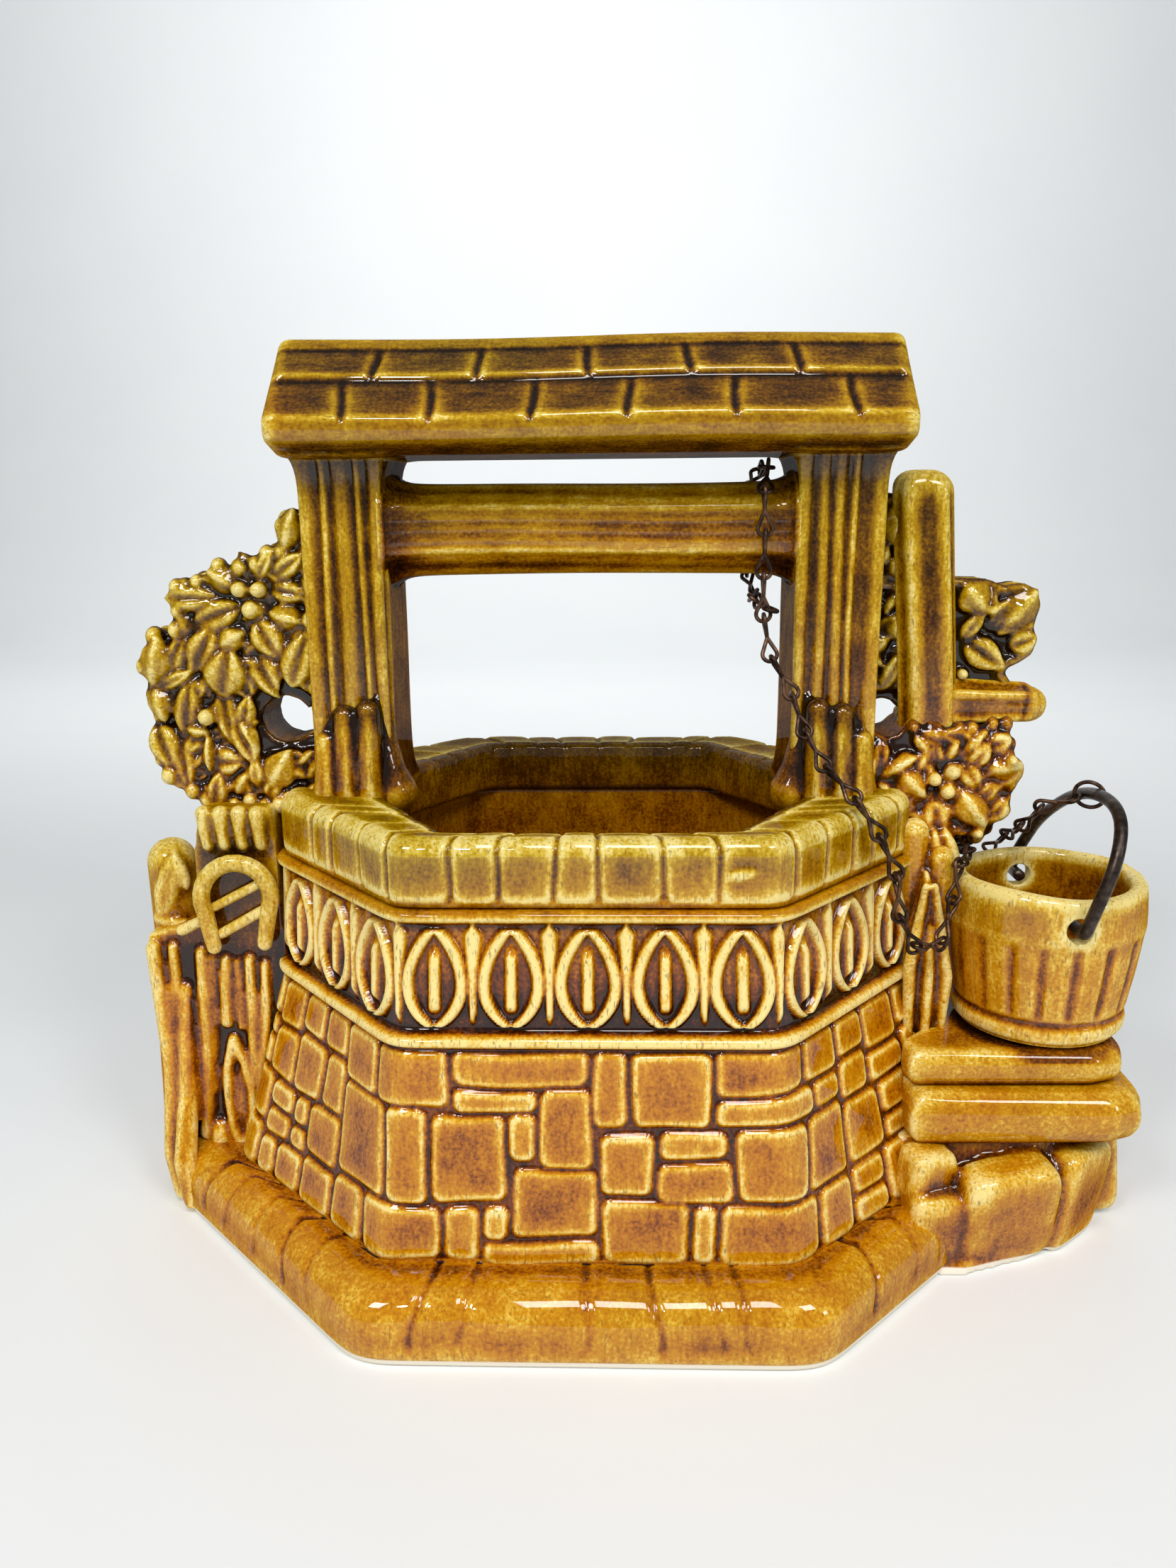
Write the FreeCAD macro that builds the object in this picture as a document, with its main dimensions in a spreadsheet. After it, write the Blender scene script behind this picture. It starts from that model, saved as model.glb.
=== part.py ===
import FreeCAD, Part
import math
import os
import Sketcher
from FreeCAD import Placement, Rotation, Vector

# A glazed pottery wishing well planter with a wire bail and a link chain, in millimetres.
# Origin: the centre of the well on the surface it stands on. +X points to the bench, +Z up, front at -Y.
# The pottery is divided where its maker joined the clay forms: plinth, rings, posts, roof and scenery.

# Driving dimensions: name, value, what it measures
SIZES = [
    ("plinth_front_half", 39.5, "half of the plinth's front edge"),
    ("plinth_depth_half", 64.0, "plinth centre to front edge"),
    ("plinth_width_half", 90.0, "plinth centre to side edge"),
    ("plinth_side_half", 13.5, "half of the plinth's side edge"),
    ("plinth_height", 13.0, "plinth height"),
    ("plinth_round", 6.5, "rounding of the plinth's shoulder"),
    ("floor_height", 6.0, "basin floor above the base"),
    ("foot_front_half", 36.3, "half of the wall's front edge at its foot"),
    ("foot_depth_half", 53.4, "wall centre to front face at its foot"),
    ("foot_width_half", 72.0, "wall centre to side face at its foot"),
    ("foot_side_half", 20.0, "half of the wall's side edge at its foot"),
    ("neck_front_half", 33.0, "half of the wall's front edge under the band"),
    ("neck_depth_half", 48.0, "wall centre to front face under the band"),
    ("neck_width_half", 62.0, "wall centre to side face under the band"),
    ("neck_side_half", 14.0, "half of the wall's side edge under the band"),
    ("wall_top", 50.5, "height of the stone wall's top"),
    ("wall_thick", 5.5, "thickness of the well's wall"),
    ("bead_height", 2.8, "height of each bead"),
    ("bead_proud", 1.1, "how far a bead stands out"),
    ("coping_base", 75.2, "height of the coping's underside"),
    ("coping_top", 86.7, "height of the coping's top"),
    ("coping_front_half", 32.2, "half of the coping's front edge"),
    ("coping_depth_half", 45.8, "coping centre to front face"),
    ("coping_width_half", 61.0, "coping centre to side face"),
    ("coping_side_half", 13.0, "half of the coping's side edge"),
    ("coping_round", 2.6, "rounding of the coping's edges"),
    ("rim_front_half", 25.0, "half of the mouth's front edge"),
    ("rim_depth_half", 38.0, "mouth centre to front edge"),
    ("rim_width_half", 40.0, "mouth centre to side edge"),
    ("rim_side_half", 13.5, "half of the mouth's side edge"),
    ("post_inner", 38.3, "post's inner face from the centre"),
    ("post_outer", 54.2, "post's outer face from the centre"),
    ("post_depth_half", 10.5, "half of the post's depth"),
    ("post_round", 1.6, "rounding of the post's corners"),
    ("flute_width", 1.3, "width of a groove in a post"),
    ("flute_depth", 0.9, "depth of a groove in a post"),
    ("flute_pitch", 3.2, "spacing of the grooves in a post"),
    ("brace_inner", 41.5, "brace's inner side from the centre"),
    ("brace_outer", 52.0, "brace's outer side from the centre"),
    ("brace_reach", 5.0, "how far a brace stands before its post"),
    ("brace_height", 20.0, "height of a brace's point"),
    ("brace_shoulder", 14.5, "height of a brace's shoulders"),
    ("bar_base", 127.7, "height of the crossbar's underside"),
    ("bar_height", 17.5, "height of the crossbar"),
    ("bar_depth_half", 8.0, "half of the crossbar's depth"),
    ("bar_chamfer", 4.5, "facet along the crossbar's edges"),
    ("roof_base", 4.6, "height of the roof's underside above the crossbar"),
    ("roof_top", 21.2, "height of the ridge above the roof's underside"),
    ("roof_width_half", 57.5, "half of the roof's length"),
    ("roof_depth_half", 20.3, "roof centre to eave"),
    ("roof_soffit_half", 12.5, "half of the flat underside"),
    ("ridge_half", 5.0, "half of the flat ridge"),
    ("eave_height", 5.4, "height of the eave's widest line above the roof's underside"),
    ("eave_lip", 3.6, "height of the eave's lip under that line"),
    ("shingle_step", 1.0, "step between the two shingle rows"),
    ("roof_round", 1.8, "rounding of the roof's ends"),
    ("scenery_depth_half", 8.5, "half of the depth of the side scenery"),
    ("leaf_proud", 2.6, "how far the leaves stand out"),
    ("side_hole_radius", 3.4, "radius of the opening beside each post"),
    ("side_hole_height", 100.2, "height of the opening beside each post"),
    ("stump_depth_half", 15.0, "half of the stump's depth"),
    ("log_radius", 4.8, "radius of the cut log"),
    ("log_top", 77.0, "height of the cut log's end"),
    ("horseshoe_width", 16.0, "width of the horseshoe"),
    ("horseshoe_height", 21.5, "height of the horseshoe"),
    ("horseshoe_band", 3.4, "width of the horseshoe's iron"),
    ("horseshoe_thick", 2.2, "how far the horseshoe stands out"),
    ("pole_radius", 6.0, "radius of the pole"),
    ("pole_foot", 66.2, "pole's axis from the centre at its foot"),
    ("pole_base", 90.0, "height of the pole's foot"),
    ("pole_length", 58.5, "length of the pole"),
    ("pole_lean", 4.2, "lean of the pole towards the post, degrees"),
    ("rail_radius", 4.2, "radius of the rail stub"),
    ("rail_height", 102.7, "height of the rail's axis"),
    ("rail_end", 88.2, "rail's end from the centre"),
    ("bench_front", 33.0, "lower slab's front from the centre"),
    ("bench_back", 10.0, "lower slab's back from the centre"),
    ("bench_right", 103.8, "lower slab's right end from the centre"),
    ("bench_left", 57.5, "lower slab's left end from the centre"),
    ("rock_height", 23.0, "height of the rocks under the bench"),
    ("rock_overhang", 3.0, "how far the lower slab passes the rocks"),
    ("lower_slab_thick", 11.0, "thickness of the lower slab"),
    ("upper_slab_thick", 7.2, "thickness of the upper slab"),
    ("slab_setback", 3.2, "how far the upper slab stands back"),
    ("slab_round", 3.0, "rounding of the slabs"),
    ("bucket_x", 87.3, "bucket's axis from the well's centre"),
    ("bucket_forward", 14.2, "bucket's axis before the well's centre"),
    ("bucket_height", 30.3, "height of the bucket"),
    ("bucket_foot_radius", 15.4, "outer radius at the bucket's foot"),
    ("bucket_belly_radius", 18.4, "outer radius at the bucket's belly"),
    ("bucket_belly_height", 21.0, "height of the belly above the foot"),
    ("bucket_rim_radius", 17.8, "outer radius at the bucket's rim"),
    ("bucket_wall", 3.0, "thickness of the bucket's wall"),
    ("bucket_floor", 4.0, "thickness of the bucket's floor"),
    ("pivot_height", 24.8, "bail holes above the bucket's foot"),
    ("pivot_hole_radius", 2.4, "radius of the bail holes"),
    ("bail_wire_radius", 1.15, "radius of the bail's wire"),
    ("bail_height", 22.5, "height of the bail over its pivots"),
    ("bail_lean", 18.5, "lean of the bail to the right, degrees"),
    ("bail_gap", 0.45, "air between the bail's legs and the bucket"),
    ("link_pitch", 8.0, "chain: joint to joint"),
    ("link_half_width", 1.72, "chain: half of a link's width"),
    ("link_wire_radius", 0.38, "chain: radius of the wire"),
    ("link_gap", 0.3, "chain: air between two hooked links"),
    ("ring_radius", 2.7, "radius of the ring on the bail"),
    ("ring_shift", 0.78, "how far the ring hangs from the bail's axis"),
]

# Ratio of an octagon corner's shift along a face to the face's own shift
CORNER_SHIFT = 0.414

doc = FreeCAD.newDocument("WishingWellPlanter")


class Size:
    """A length that is both a number and the expression that gives it."""

    def __init__(self, value, text):
        self.value = value
        self.text = text

    def join(self, other, sign, value):
        return Size(value, f"({self.text} {sign} {size_of(other).text})")

    def __add__(self, other):
        return self.join(other, "+", self.value + size_of(other).value)

    def __radd__(self, other):
        return size_of(other) + self

    def __sub__(self, other):
        return self.join(other, "-", self.value - size_of(other).value)

    def __rsub__(self, other):
        return size_of(other) - self

    def __mul__(self, other):
        return self.join(other, "*", self.value * size_of(other).value)

    def __rmul__(self, other):
        return size_of(other) * self

    def __neg__(self):
        return Size(-self.value, f"(-1 * {self.text})")


def size_of(number):
    return number if isinstance(number, Size) else Size(float(number), repr(float(number)))


class Sheet:
    """The spreadsheet of driving dimensions; each one is read as an attribute."""

    def __init__(self, rows):
        self.sheet = doc.addObject("Spreadsheet::Sheet", "sizes")
        self.rows = {}
        for line, (name, value, note) in enumerate(rows, start=1):
            self.sheet.set(f"A{line}", name)
            self.sheet.set(f"B{line}", str(value))
            self.sheet.setAlias(f"B{line}", name)
            self.sheet.set(f"C{line}", note)
            self.rows[name] = Size(float(value), f"sizes.{name}")
        doc.recompute()

    def __getattr__(self, name):
        return self.rows[name]


S = Sheet(SIZES)
NODES = {}


# Helpers for sketches and features

def bind(item, prop, size):
    item.setExpression(prop, size_of(size).text)


def new_body(label):
    body = doc.addObject("PartDesign::Body", label)
    body.Label = label
    return body


def plane_of(body, role):
    return [f for f in body.Origin.OriginFeatures if f.Role == role][0]


def new_sketch(body, name, role, lift=0):
    sketch = body.newObject("Sketcher::SketchObject", name)
    sketch.AttachmentSupport = (plane_of(body, role), [""])
    sketch.MapMode = "FlatFace"
    bind(sketch, "AttachmentOffset.Base.z", lift)
    return sketch


def pin_point(sketch, line, end, across, size):
    """Hold one coordinate of a line's end at a size measured from the sketch's origin."""
    size = size_of(size)
    if abs(size.value) < 1e-9:
        sketch.addConstraint(Sketcher.Constraint("PointOnObject", line, end, -2 if across else -1))
        return
    kind = "DistanceX" if across else "DistanceY"
    number = sketch.addConstraint(Sketcher.Constraint(kind, -1, 1, line, end, size.value))
    sketch.setExpression(f"Constraints[{number}]", size.text)


def polygon(sketch, corners):
    """Draw a closed outline whose corners are pairs of sizes."""
    pairs = [(size_of(x), size_of(y)) for x, y in corners]
    first = sketch.GeometryCount
    count = len(pairs)
    for index, (x, y) in enumerate(pairs):
        to_x, to_y = pairs[(index + 1) % count]
        line = Part.LineSegment(Vector(x.value, y.value, 0), Vector(to_x.value, to_y.value, 0))
        sketch.addGeometry(line, False)
    for index in range(count):
        follower = first + (index + 1) % count
        sketch.addConstraint(Sketcher.Constraint("Coincident", first + index, 2, follower, 1))
    for index, (x, y) in enumerate(pairs):
        pin_point(sketch, first + index, 1, True, x)
        pin_point(sketch, first + index, 1, False, y)
    return sketch


def octagon_corners(front_half, depth_half, width_half, side_half):
    right = [(front_half, -depth_half), (width_half, -side_half), (width_half, side_half),
             (front_half, depth_half)]
    left = [(-x, y) for x, y in reversed(right)]
    return right + left


def octagon_sizes(name):
    """The four sizes of a named octagon: front half, depth half, width half, side half."""
    return [S.rows[f"{name}_{part}_half"] for part in ("front", "depth", "width", "side")]


def offset_octagon(sizes, shift):
    front, depth, width, side = sizes
    corner = size_of(shift) * CORNER_SHIFT
    return [front + corner, depth + shift, width + shift, side + corner]


def edge_names(shape, wanted):
    return [f"Edge{number}" for number, edge in enumerate(shape.Edges, start=1) if wanted(edge)]


def fillet(body, base, radius, wanted):
    doc.recompute()
    rounded = body.newObject("PartDesign::Fillet", f"{body.Name}_round")
    rounded.Base = (base, edge_names(base.Shape, wanted))
    bind(rounded, "Radius", radius)
    doc.recompute()
    return rounded


def centre_of(edge):
    return edge.CenterOfMass


def is_level(edge):
    return edge.BoundBox.ZLength < 1e-6


def keep(label, item):
    item.Label = label
    NODES[label] = item
    return item


def loft(body, kind, name, low, high, low_height, high_height):
    profiles = []
    for part, corners, height in (("low", low, low_height), ("high", high, high_height)):
        sketch = new_sketch(body, f"{name}_{part}", "XY_Plane", height)
        profiles.append(polygon(sketch, octagon_corners(*corners)))
    feature = body.newObject(kind, name)
    feature.Profile = profiles[0]
    feature.Sections = [profiles[1]]
    feature.Ruled = True
    return feature


def ring(label, low_height, high_height, outer, inner, radius=None, wanted=None):
    """An eight-sided ring between two heights; outer and inner each hold a low and a high octagon."""
    body = new_body(label)
    loft(body, "PartDesign::AdditiveLoft", f"{label}_outside", *outer, low_height, high_height)
    base = loft(body, "PartDesign::SubtractiveLoft", f"{label}_inside", *inner, low_height, high_height)
    if radius is not None:
        fillet(body, base, radius, wanted)
    return keep(label, body)


def feature(label, shape):
    item = doc.addObject("Part::Feature", label)
    item.Shape = shape
    return keep(label, item)


def cut(label, blank, tools):
    """Cut a blank by each piece it meets, so that they lie face to face."""
    blank.Label = f"{label}_blank"
    result = blank
    for number, tool in enumerate(tools, start=1):
        last = number == len(tools)
        step = doc.addObject("Part::Cut", label if last else f"{label}_cut_{number}")
        step.Base = result
        step.Tool = tool
        result = step
    doc.recompute()
    return keep(label, result)


# The well: plinth, stone wall, two beads, plain band and coping

FOOT = octagon_sizes("foot")
NECK = octagon_sizes("neck")
COPING = octagon_sizes("coping")
RIM = octagon_sizes("rim")
BASIN_FOOT = offset_octagon(FOOT, -S.wall_thick)
BASIN_NECK = offset_octagon(NECK, -S.wall_thick)
BASIN_TOP = offset_octagon(COPING, -S.wall_thick)
FRIEZE_BASE = S.wall_top + S.bead_height
FRIEZE_TOP = S.coping_base - S.bead_height


def make_plinth():
    body = new_body("plinth")
    outline = polygon(new_sketch(body, "plinth_outline", "XY_Plane"),
                      octagon_corners(*octagon_sizes("plinth")))
    pad = body.newObject("PartDesign::Pad", "plinth_pad")
    pad.Profile = outline
    bind(pad, "Length", S.plinth_height)
    basin = polygon(new_sketch(body, "basin_outline", "XY_Plane", S.plinth_height),
                    octagon_corners(*BASIN_FOOT))
    pocket = body.newObject("PartDesign::Pocket", "basin_pocket")
    pocket.Profile = basin
    bind(pocket, "Length", S.plinth_height - S.floor_height)
    top = S.plinth_height.value
    reach = BASIN_FOOT[1].value + 1.0

    def is_shoulder(edge):
        point = centre_of(edge)
        outside = abs(point.y) > reach or abs(point.x) > BASIN_FOOT[2].value + 1.0
        far = outside or math.hypot(point.x, point.y) > 68.0
        return is_level(edge) and abs(point.z - top) < 1e-6 and far

    fillet(body, pocket, S.plinth_round, is_shoulder)
    return keep("plinth", body)


def make_well():
    make_plinth()
    ring("well_wall", S.plinth_height, S.wall_top, (FOOT, NECK), (BASIN_FOOT, BASIN_NECK))
    proud_neck = offset_octagon(NECK, S.bead_proud)
    ring("lower_bead", S.wall_top, FRIEZE_BASE, (proud_neck, proud_neck), (BASIN_NECK, BASIN_NECK),
         S.bead_height * 0.35, outer_level_edge(proud_neck[1].value - 0.5, proud_neck[2].value - 0.5))
    ring("frieze_band", FRIEZE_BASE, FRIEZE_TOP, (NECK, COPING), (BASIN_NECK, BASIN_TOP))
    proud_coping = offset_octagon(COPING, S.bead_proud)
    ring("upper_bead", FRIEZE_TOP, S.coping_base, (proud_coping, proud_coping), (BASIN_TOP, BASIN_TOP),
         S.bead_height * 0.35, outer_level_edge(proud_coping[1].value - 0.5, proud_coping[2].value - 0.5))
    top = S.coping_top.value

    def is_top_edge(edge):
        return is_level(edge) and abs(centre_of(edge).z - top) < 1e-6

    ring("coping_ring", S.coping_base, S.coping_top, (COPING, COPING), (RIM, RIM), S.coping_round,
         is_top_edge)


def outer_level_edge(depth, width):
    """Pick the level edges of a ring's outside, whose octagon is at least this deep and wide."""
    def wanted(edge):
        point = centre_of(edge)
        straight = abs(point.y) > depth or abs(point.x) > width
        slanted = abs(point.x) > 0.6 * width and abs(point.y) > 0.5 * depth
        return is_level(edge) and (straight or slanted and outside_diagonal(point, depth, width))
    return wanted


def outside_diagonal(point, depth, width):
    return abs(point.x) / width + abs(point.y) / depth > 1.38


# The posts, their braces, the crossbar and the roof

ROOF_UNDERSIDE = S.bar_base + S.bar_height + S.roof_base
EAVE = ROOF_UNDERSIDE + S.eave_height
RIDGE = ROOF_UNDERSIDE + S.roof_top


def make_post(side, label):
    body = new_body(label)
    inner, outer = side * S.post_inner, side * S.post_outer
    face = S.post_depth_half
    outline = polygon(new_sketch(body, f"{label}_outline", "XY_Plane", S.coping_top),
                      [(inner, -face), (outer, -face), (outer, face), (inner, face)])
    pad = body.newObject("PartDesign::Pad", f"{label}_pad")
    pad.Profile = outline
    bind(pad, "Length", ROOF_UNDERSIDE - S.coping_top)
    rounded = fillet(body, pad, S.post_round,
                     lambda edge: edge.BoundBox.ZLength > 1.0)
    grooves = new_sketch(body, f"{label}_groove", "XY_Plane", S.coping_top)
    near = side * (S.post_inner + S.flute_pitch - S.flute_width * 0.5)
    far = side * (S.post_inner + S.flute_pitch + S.flute_width * 0.5)
    for sign in (-1, 1):
        mouth = sign * (face + 1.0)
        bottom = sign * (face - S.flute_depth)
        polygon(grooves, [(near, mouth), (far, mouth), (far, bottom), (near, bottom)])
    pocket = body.newObject("PartDesign::Pocket", f"{label}_pocket")
    pocket.Profile = grooves
    pocket.Reversed = True
    bind(pocket, "Length", ROOF_UNDERSIDE - S.coping_top)
    doc.recompute()
    pattern = body.newObject("PartDesign::LinearPattern", f"{label}_flutes")
    pattern.Originals = [pocket]
    pattern.Direction = (grooves, ["H_Axis"])
    pattern.Reversed = side < 0
    bind(pattern, "Length", S.flute_pitch * 3)
    pattern.Occurrences = 4
    body.Tip = pattern
    doc.recompute()
    if pattern.Shape.Volume >= rounded.Shape.Volume - 1.0:
        raise RuntimeError(f"{label}: the grooves cut nothing")
    return keep(label, body)


def make_brace(side, label):
    body = new_body(label)
    inner, outer = side * S.brace_inner, side * S.brace_outer
    middle = side * (S.brace_inner + S.brace_outer) * 0.5
    shoulder = S.coping_top + S.brace_shoulder
    outline = polygon(new_sketch(body, f"{label}_outline", "XZ_Plane", S.post_depth_half),
                      [(inner, S.coping_top), (outer, S.coping_top), (outer, shoulder),
                       (middle, S.coping_top + S.brace_height), (inner, shoulder)])
    pad = body.newObject("PartDesign::Pad", f"{label}_pad")
    pad.Profile = outline
    bind(pad, "Length", S.brace_reach)
    front = -(S.post_depth_half.value + S.brace_reach.value)
    fillet(body, pad, S.post_round, lambda edge: abs(centre_of(edge).y - front) < 1e-6
           and centre_of(edge).z > S.coping_top.value + 1.0)
    return keep(label, body)


def make_crossbar():
    body = new_body("crossbar")
    deep, top, facet = S.bar_depth_half, S.bar_base + S.bar_height, S.bar_chamfer
    half = [(deep - facet, S.bar_base), (deep, S.bar_base + facet), (deep, top - facet), (deep - facet, top)]
    outline = polygon(new_sketch(body, "crossbar_outline", "YZ_Plane"),
                      half + [(-y, z) for y, z in reversed(half)])
    pad = body.newObject("PartDesign::Pad", "crossbar_pad")
    pad.Profile = outline
    pad.SideType = "Symmetric"
    bind(pad, "Length", S.post_inner * 2)
    fillet(body, pad, S.bar_chamfer * 0.35, lambda edge: edge.BoundBox.XLength > 1.0)
    return keep("crossbar", body)


def make_roof():
    """A gabled slab with two shingle rows on each slope, each row a step proud of the next."""
    body = new_body("roof")
    slope_run = S.roof_depth_half - S.ridge_half
    slope_fall = RIDGE - EAVE
    row_edge = (S.ridge_half + slope_run * 0.5 + S.shingle_step * 0.6,
                RIDGE - slope_fall * 0.5 + S.shingle_step * 0.4)
    row_inner = (S.ridge_half + slope_run * 0.5 - S.shingle_step * 0.2,
                 RIDGE - slope_fall * 0.5 - S.shingle_step * 0.5)
    half = [(S.roof_soffit_half, ROOF_UNDERSIDE), (S.roof_depth_half - 1.0, EAVE - S.eave_lip),
            (S.roof_depth_half, EAVE), row_inner, row_edge, (S.ridge_half, RIDGE)]
    outline = polygon(new_sketch(body, "roof_outline", "YZ_Plane"),
                      half + [(-y, z) for y, z in reversed(half)])
    pad = body.newObject("PartDesign::Pad", "roof_pad")
    pad.Profile = outline
    pad.SideType = "Symmetric"
    bind(pad, "Length", S.roof_width_half * 2)
    end = S.roof_width_half.value

    def is_end_edge(edge):
        point = centre_of(edge)
        at_end = abs(abs(point.x) - end) < 1e-6
        return at_end and edge.Length > 2.5

    fillet(body, pad, S.roof_round * 0.5, is_end_edge)
    return keep("roof", body)


# Leaves, petals and berries, as shallow solids that stand out on both faces

def lens_prism(centre_x, centre_z, angle, length, width, half_depth):
    """A leaf outline of two arcs, extruded through from front to back."""
    turn = math.radians(angle)
    along = Vector(math.cos(turn), 0, math.sin(turn))
    across = Vector(-math.sin(turn), 0, math.cos(turn))
    middle = Vector(centre_x, -half_depth, centre_z)
    tail, tip = middle - along * (length / 2), middle + along * (length / 2)
    one = Part.Arc(tail, middle + across * (width / 2), tip).toShape()
    other = Part.Arc(tip, middle - across * (width / 2), tail).toShape()
    return Part.Face(Part.Wire([one, other])).extrude(Vector(0, 2 * half_depth, 0))


def flower(centre_x, centre_z, petals, reach, half_depth):
    """Petals round three berries; every second petal is a little lower."""
    solids = []
    for number in range(petals):
        angle = 360.0 * number / petals
        turn = math.radians(angle)
        depth = half_depth - 0.5 * (number % 2)
        solids.append(lens_prism(centre_x + 0.55 * reach * math.cos(turn),
                                 centre_z + 0.55 * reach * math.sin(turn), angle, reach, 0.52 * reach, depth))
    for number in range(3):
        turn = math.radians(90 + 120 * number)
        place = Vector(centre_x + 1.6 * math.cos(turn), -half_depth - 0.4, centre_z + 1.6 * math.sin(turn))
        solids.append(Part.makeCylinder(1.25, 2 * half_depth + 0.8, place, Vector(0, 1, 0)))
    return solids


def slab_xz(points, front, back):
    """An outline of x, z points extruded from front to back."""
    corners = [Vector(x, front, z) for x, z in points]
    wire = Part.makePolygon(corners + [corners[0]])
    return Part.Face(wire).extrude(Vector(0, back - front, 0))


def side_hole(side):
    radius = S.side_hole_radius.value
    centre_x = side * (S.post_outer.value + radius + 1.0)
    return Part.makeCylinder(radius, 80.0, Vector(centre_x, -40.0, S.side_hole_height.value), Vector(0, 1, 0))


def fused_minus(solids, tools):
    shape = solids[0].multiFuse(solids[1:]).removeSplitter()
    for tool in tools:
        shape = shape.cut(tool)
    biggest = max(shape.Solids, key=lambda solid: solid.Volume)
    return biggest


def well_shapes():
    doc.recompute()
    names = ("plinth", "well_wall", "lower_bead", "frieze_band", "upper_bead", "coping_ring")
    return [NODES[name].Shape for name in names]


def post_x(side, distance):
    """A place this far outside a post's outer face."""
    return side * (S.post_outer.value + distance)


def make_left_foliage():
    edge = post_x(-1, 0.0)
    top = S.coping_top.value
    # Outline from the post's face outwards and down: distance past the post, height over the coping
    outline = [(-1.0, 54.5), (4.5, 51.0), (5.0, 46.5), (11.0, 43.0), (17.0, 43.0), (26.0, 40.0), (27.5, 36.5),
               (30.0, 29.5), (34.0, 24.0), (33.2, 16.5), (30.5, 11.5), (33.0, 8.5), (31.5, 2.5), (27.0, -3.0),
               (8.0, -3.0), (-1.0, -1.0)]
    depth = S.scenery_depth_half.value
    proud = depth + S.leaf_proud.value
    solids = [slab_xz([(edge - x, top + z) for x, z in outline], -depth, depth)]
    solids += flower(edge - 11.2, top + 35.5, 6, 9.5, proud)
    solids += flower(edge - 19.5, top + 14.0, 6, 8.5, proud)
    # Leaves: distance past the post, height over the coping, angle, length
    leaves = [(22.0, 35.5, 20, 11), (27.0, 27.0, 60, 11), (19.0, 26.5, -40, 10), (29.0, 16.5, 100, 10),
              (12.0, 22.0, 70, 11), (26.0, 6.0, -50, 10), (15.0, 2.5, 15, 11), (4.5, 45.0, 60, 9)]
    for number, (x, z, angle, length) in enumerate(leaves):
        leaf_depth = proud - 0.4 - 0.3 * (number % 3)
        solids.append(lens_prism(edge - x, top + z, angle, length, 0.48 * length, leaf_depth))
    tools = well_shapes() + [NODES["left_post"].Shape, side_hole(-1)]
    return feature("left_foliage", fused_minus(solids, tools))


def make_stump():
    """The plank-like stump, its neck behind the horseshoe and the cut log at its outer side."""
    body = new_body("stump_blank")
    outer, neck = S.plinth_width_half, S.coping_width_half
    outline = polygon(new_sketch(body, "stump_outline", "XZ_Plane"),
                      [(-outer + 3.0, S.plinth_height - 5.0), (-foot_inside(), S.plinth_height - 5.0),
                       (-neck + 3.0, S.wall_top), (-neck + 2.0, S.coping_top - 3.0),
                       (-neck - 17.0, S.coping_top - 3.0), (-neck - 18.5, S.wall_top + 9.0),
                       (-outer + 0.5, S.wall_top + 7.5)])
    pad = body.newObject("PartDesign::Pad", "stump_pad")
    pad.Profile = outline
    pad.SideType = "Symmetric"
    bind(pad, "Length", S.stump_depth_half * 2)
    deep = S.stump_depth_half.value
    fillet(body, pad, 2.0, lambda edge: abs(abs(centre_of(edge).y) - deep) < 1e-6
           and centre_of(edge).x < -neck.value)
    stump = cut("left_stump", body, [NODES[name] for name in
                                     ("plinth", "well_wall", "lower_bead", "frieze_band", "upper_bead",
                                      "coping_ring", "left_foliage")])
    log = doc.addObject("Part::Cylinder", "log_core")
    bind(log, "Radius", S.log_radius)
    bind(log, "Height", S.log_top - S.wall_top)
    bind(log, "Placement.Base.x", -S.plinth_width_half + 4.0)
    bind(log, "Placement.Base.y", -S.log_radius)
    bind(log, "Placement.Base.z", S.wall_top)
    doc.recompute()
    rounded = doc.addObject("Part::Fillet", "log_round")
    rounded.Base = log
    top_edge = [number for number, edge in enumerate(log.Shape.Edges, start=1)
                if is_level(edge) and edge.BoundBox.ZMax > S.log_top.value - 1e-6]
    radius = S.log_radius.value * 0.6
    rounded.Edges = [(top_edge[0], radius, radius)]
    cut("left_log", rounded, [stump, NODES["left_foliage"]])


def foot_inside():
    """Where the stump's foot ends inside the wall's thickness."""
    return S.foot_width_half - 2.0


def make_horseshoe():
    """A band bent to a horseshoe, ends down, on the front of the stump's neck."""
    half = S.horseshoe_width.value / 2
    band = S.horseshoe_band.value
    centre_x = -S.coping_width_half.value - 8.3
    top = S.coping_base.value + 0.8
    low = top - S.horseshoe_height.value
    front = -S.stump_depth_half.value
    crown = top - half
    inner = half - band

    def point(x, z):
        return Vector(centre_x + x, front, z)

    outer_arc = Part.Arc(point(-half, crown), point(0, top), point(half, crown)).toShape()
    inner_arc = Part.Arc(point(inner, crown), point(0, crown + inner), point(-inner, crown)).toShape()
    close_in = 2.4
    right = [point(half, crown), point(half - close_in, low), point(half - close_in - band, low),
             point(inner, crown)]
    left = [point(-inner, crown), point(-half + close_in + band, low), point(-half + close_in, low),
            point(-half, crown)]
    edges = [outer_arc] + list(Part.makePolygon(right).Edges) + [inner_arc] + list(Part.makePolygon(left).Edges)
    face = Part.Face(Part.Wire(Part.__sortEdges__(edges)))
    solid = face.extrude(Vector(0, -S.horseshoe_thick.value, 0))
    feature("horseshoe", solid)
    rail_low = Vector(centre_x - half + 1.0, front, low + 3.0)
    rail_high = Vector(centre_x + half - 1.0, front, low + 11.0)
    run = rail_high - rail_low
    rail = Part.makeCylinder(1.2, run.Length, rail_low, run)
    shape = rail.cut(solid).cut(NODES["left_stump"].Shape)
    inside = [piece for piece in shape.Solids if piece.Volume > 0.5]
    feature("left_rail", max(inside, key=lambda piece: piece.Volume))


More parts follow.
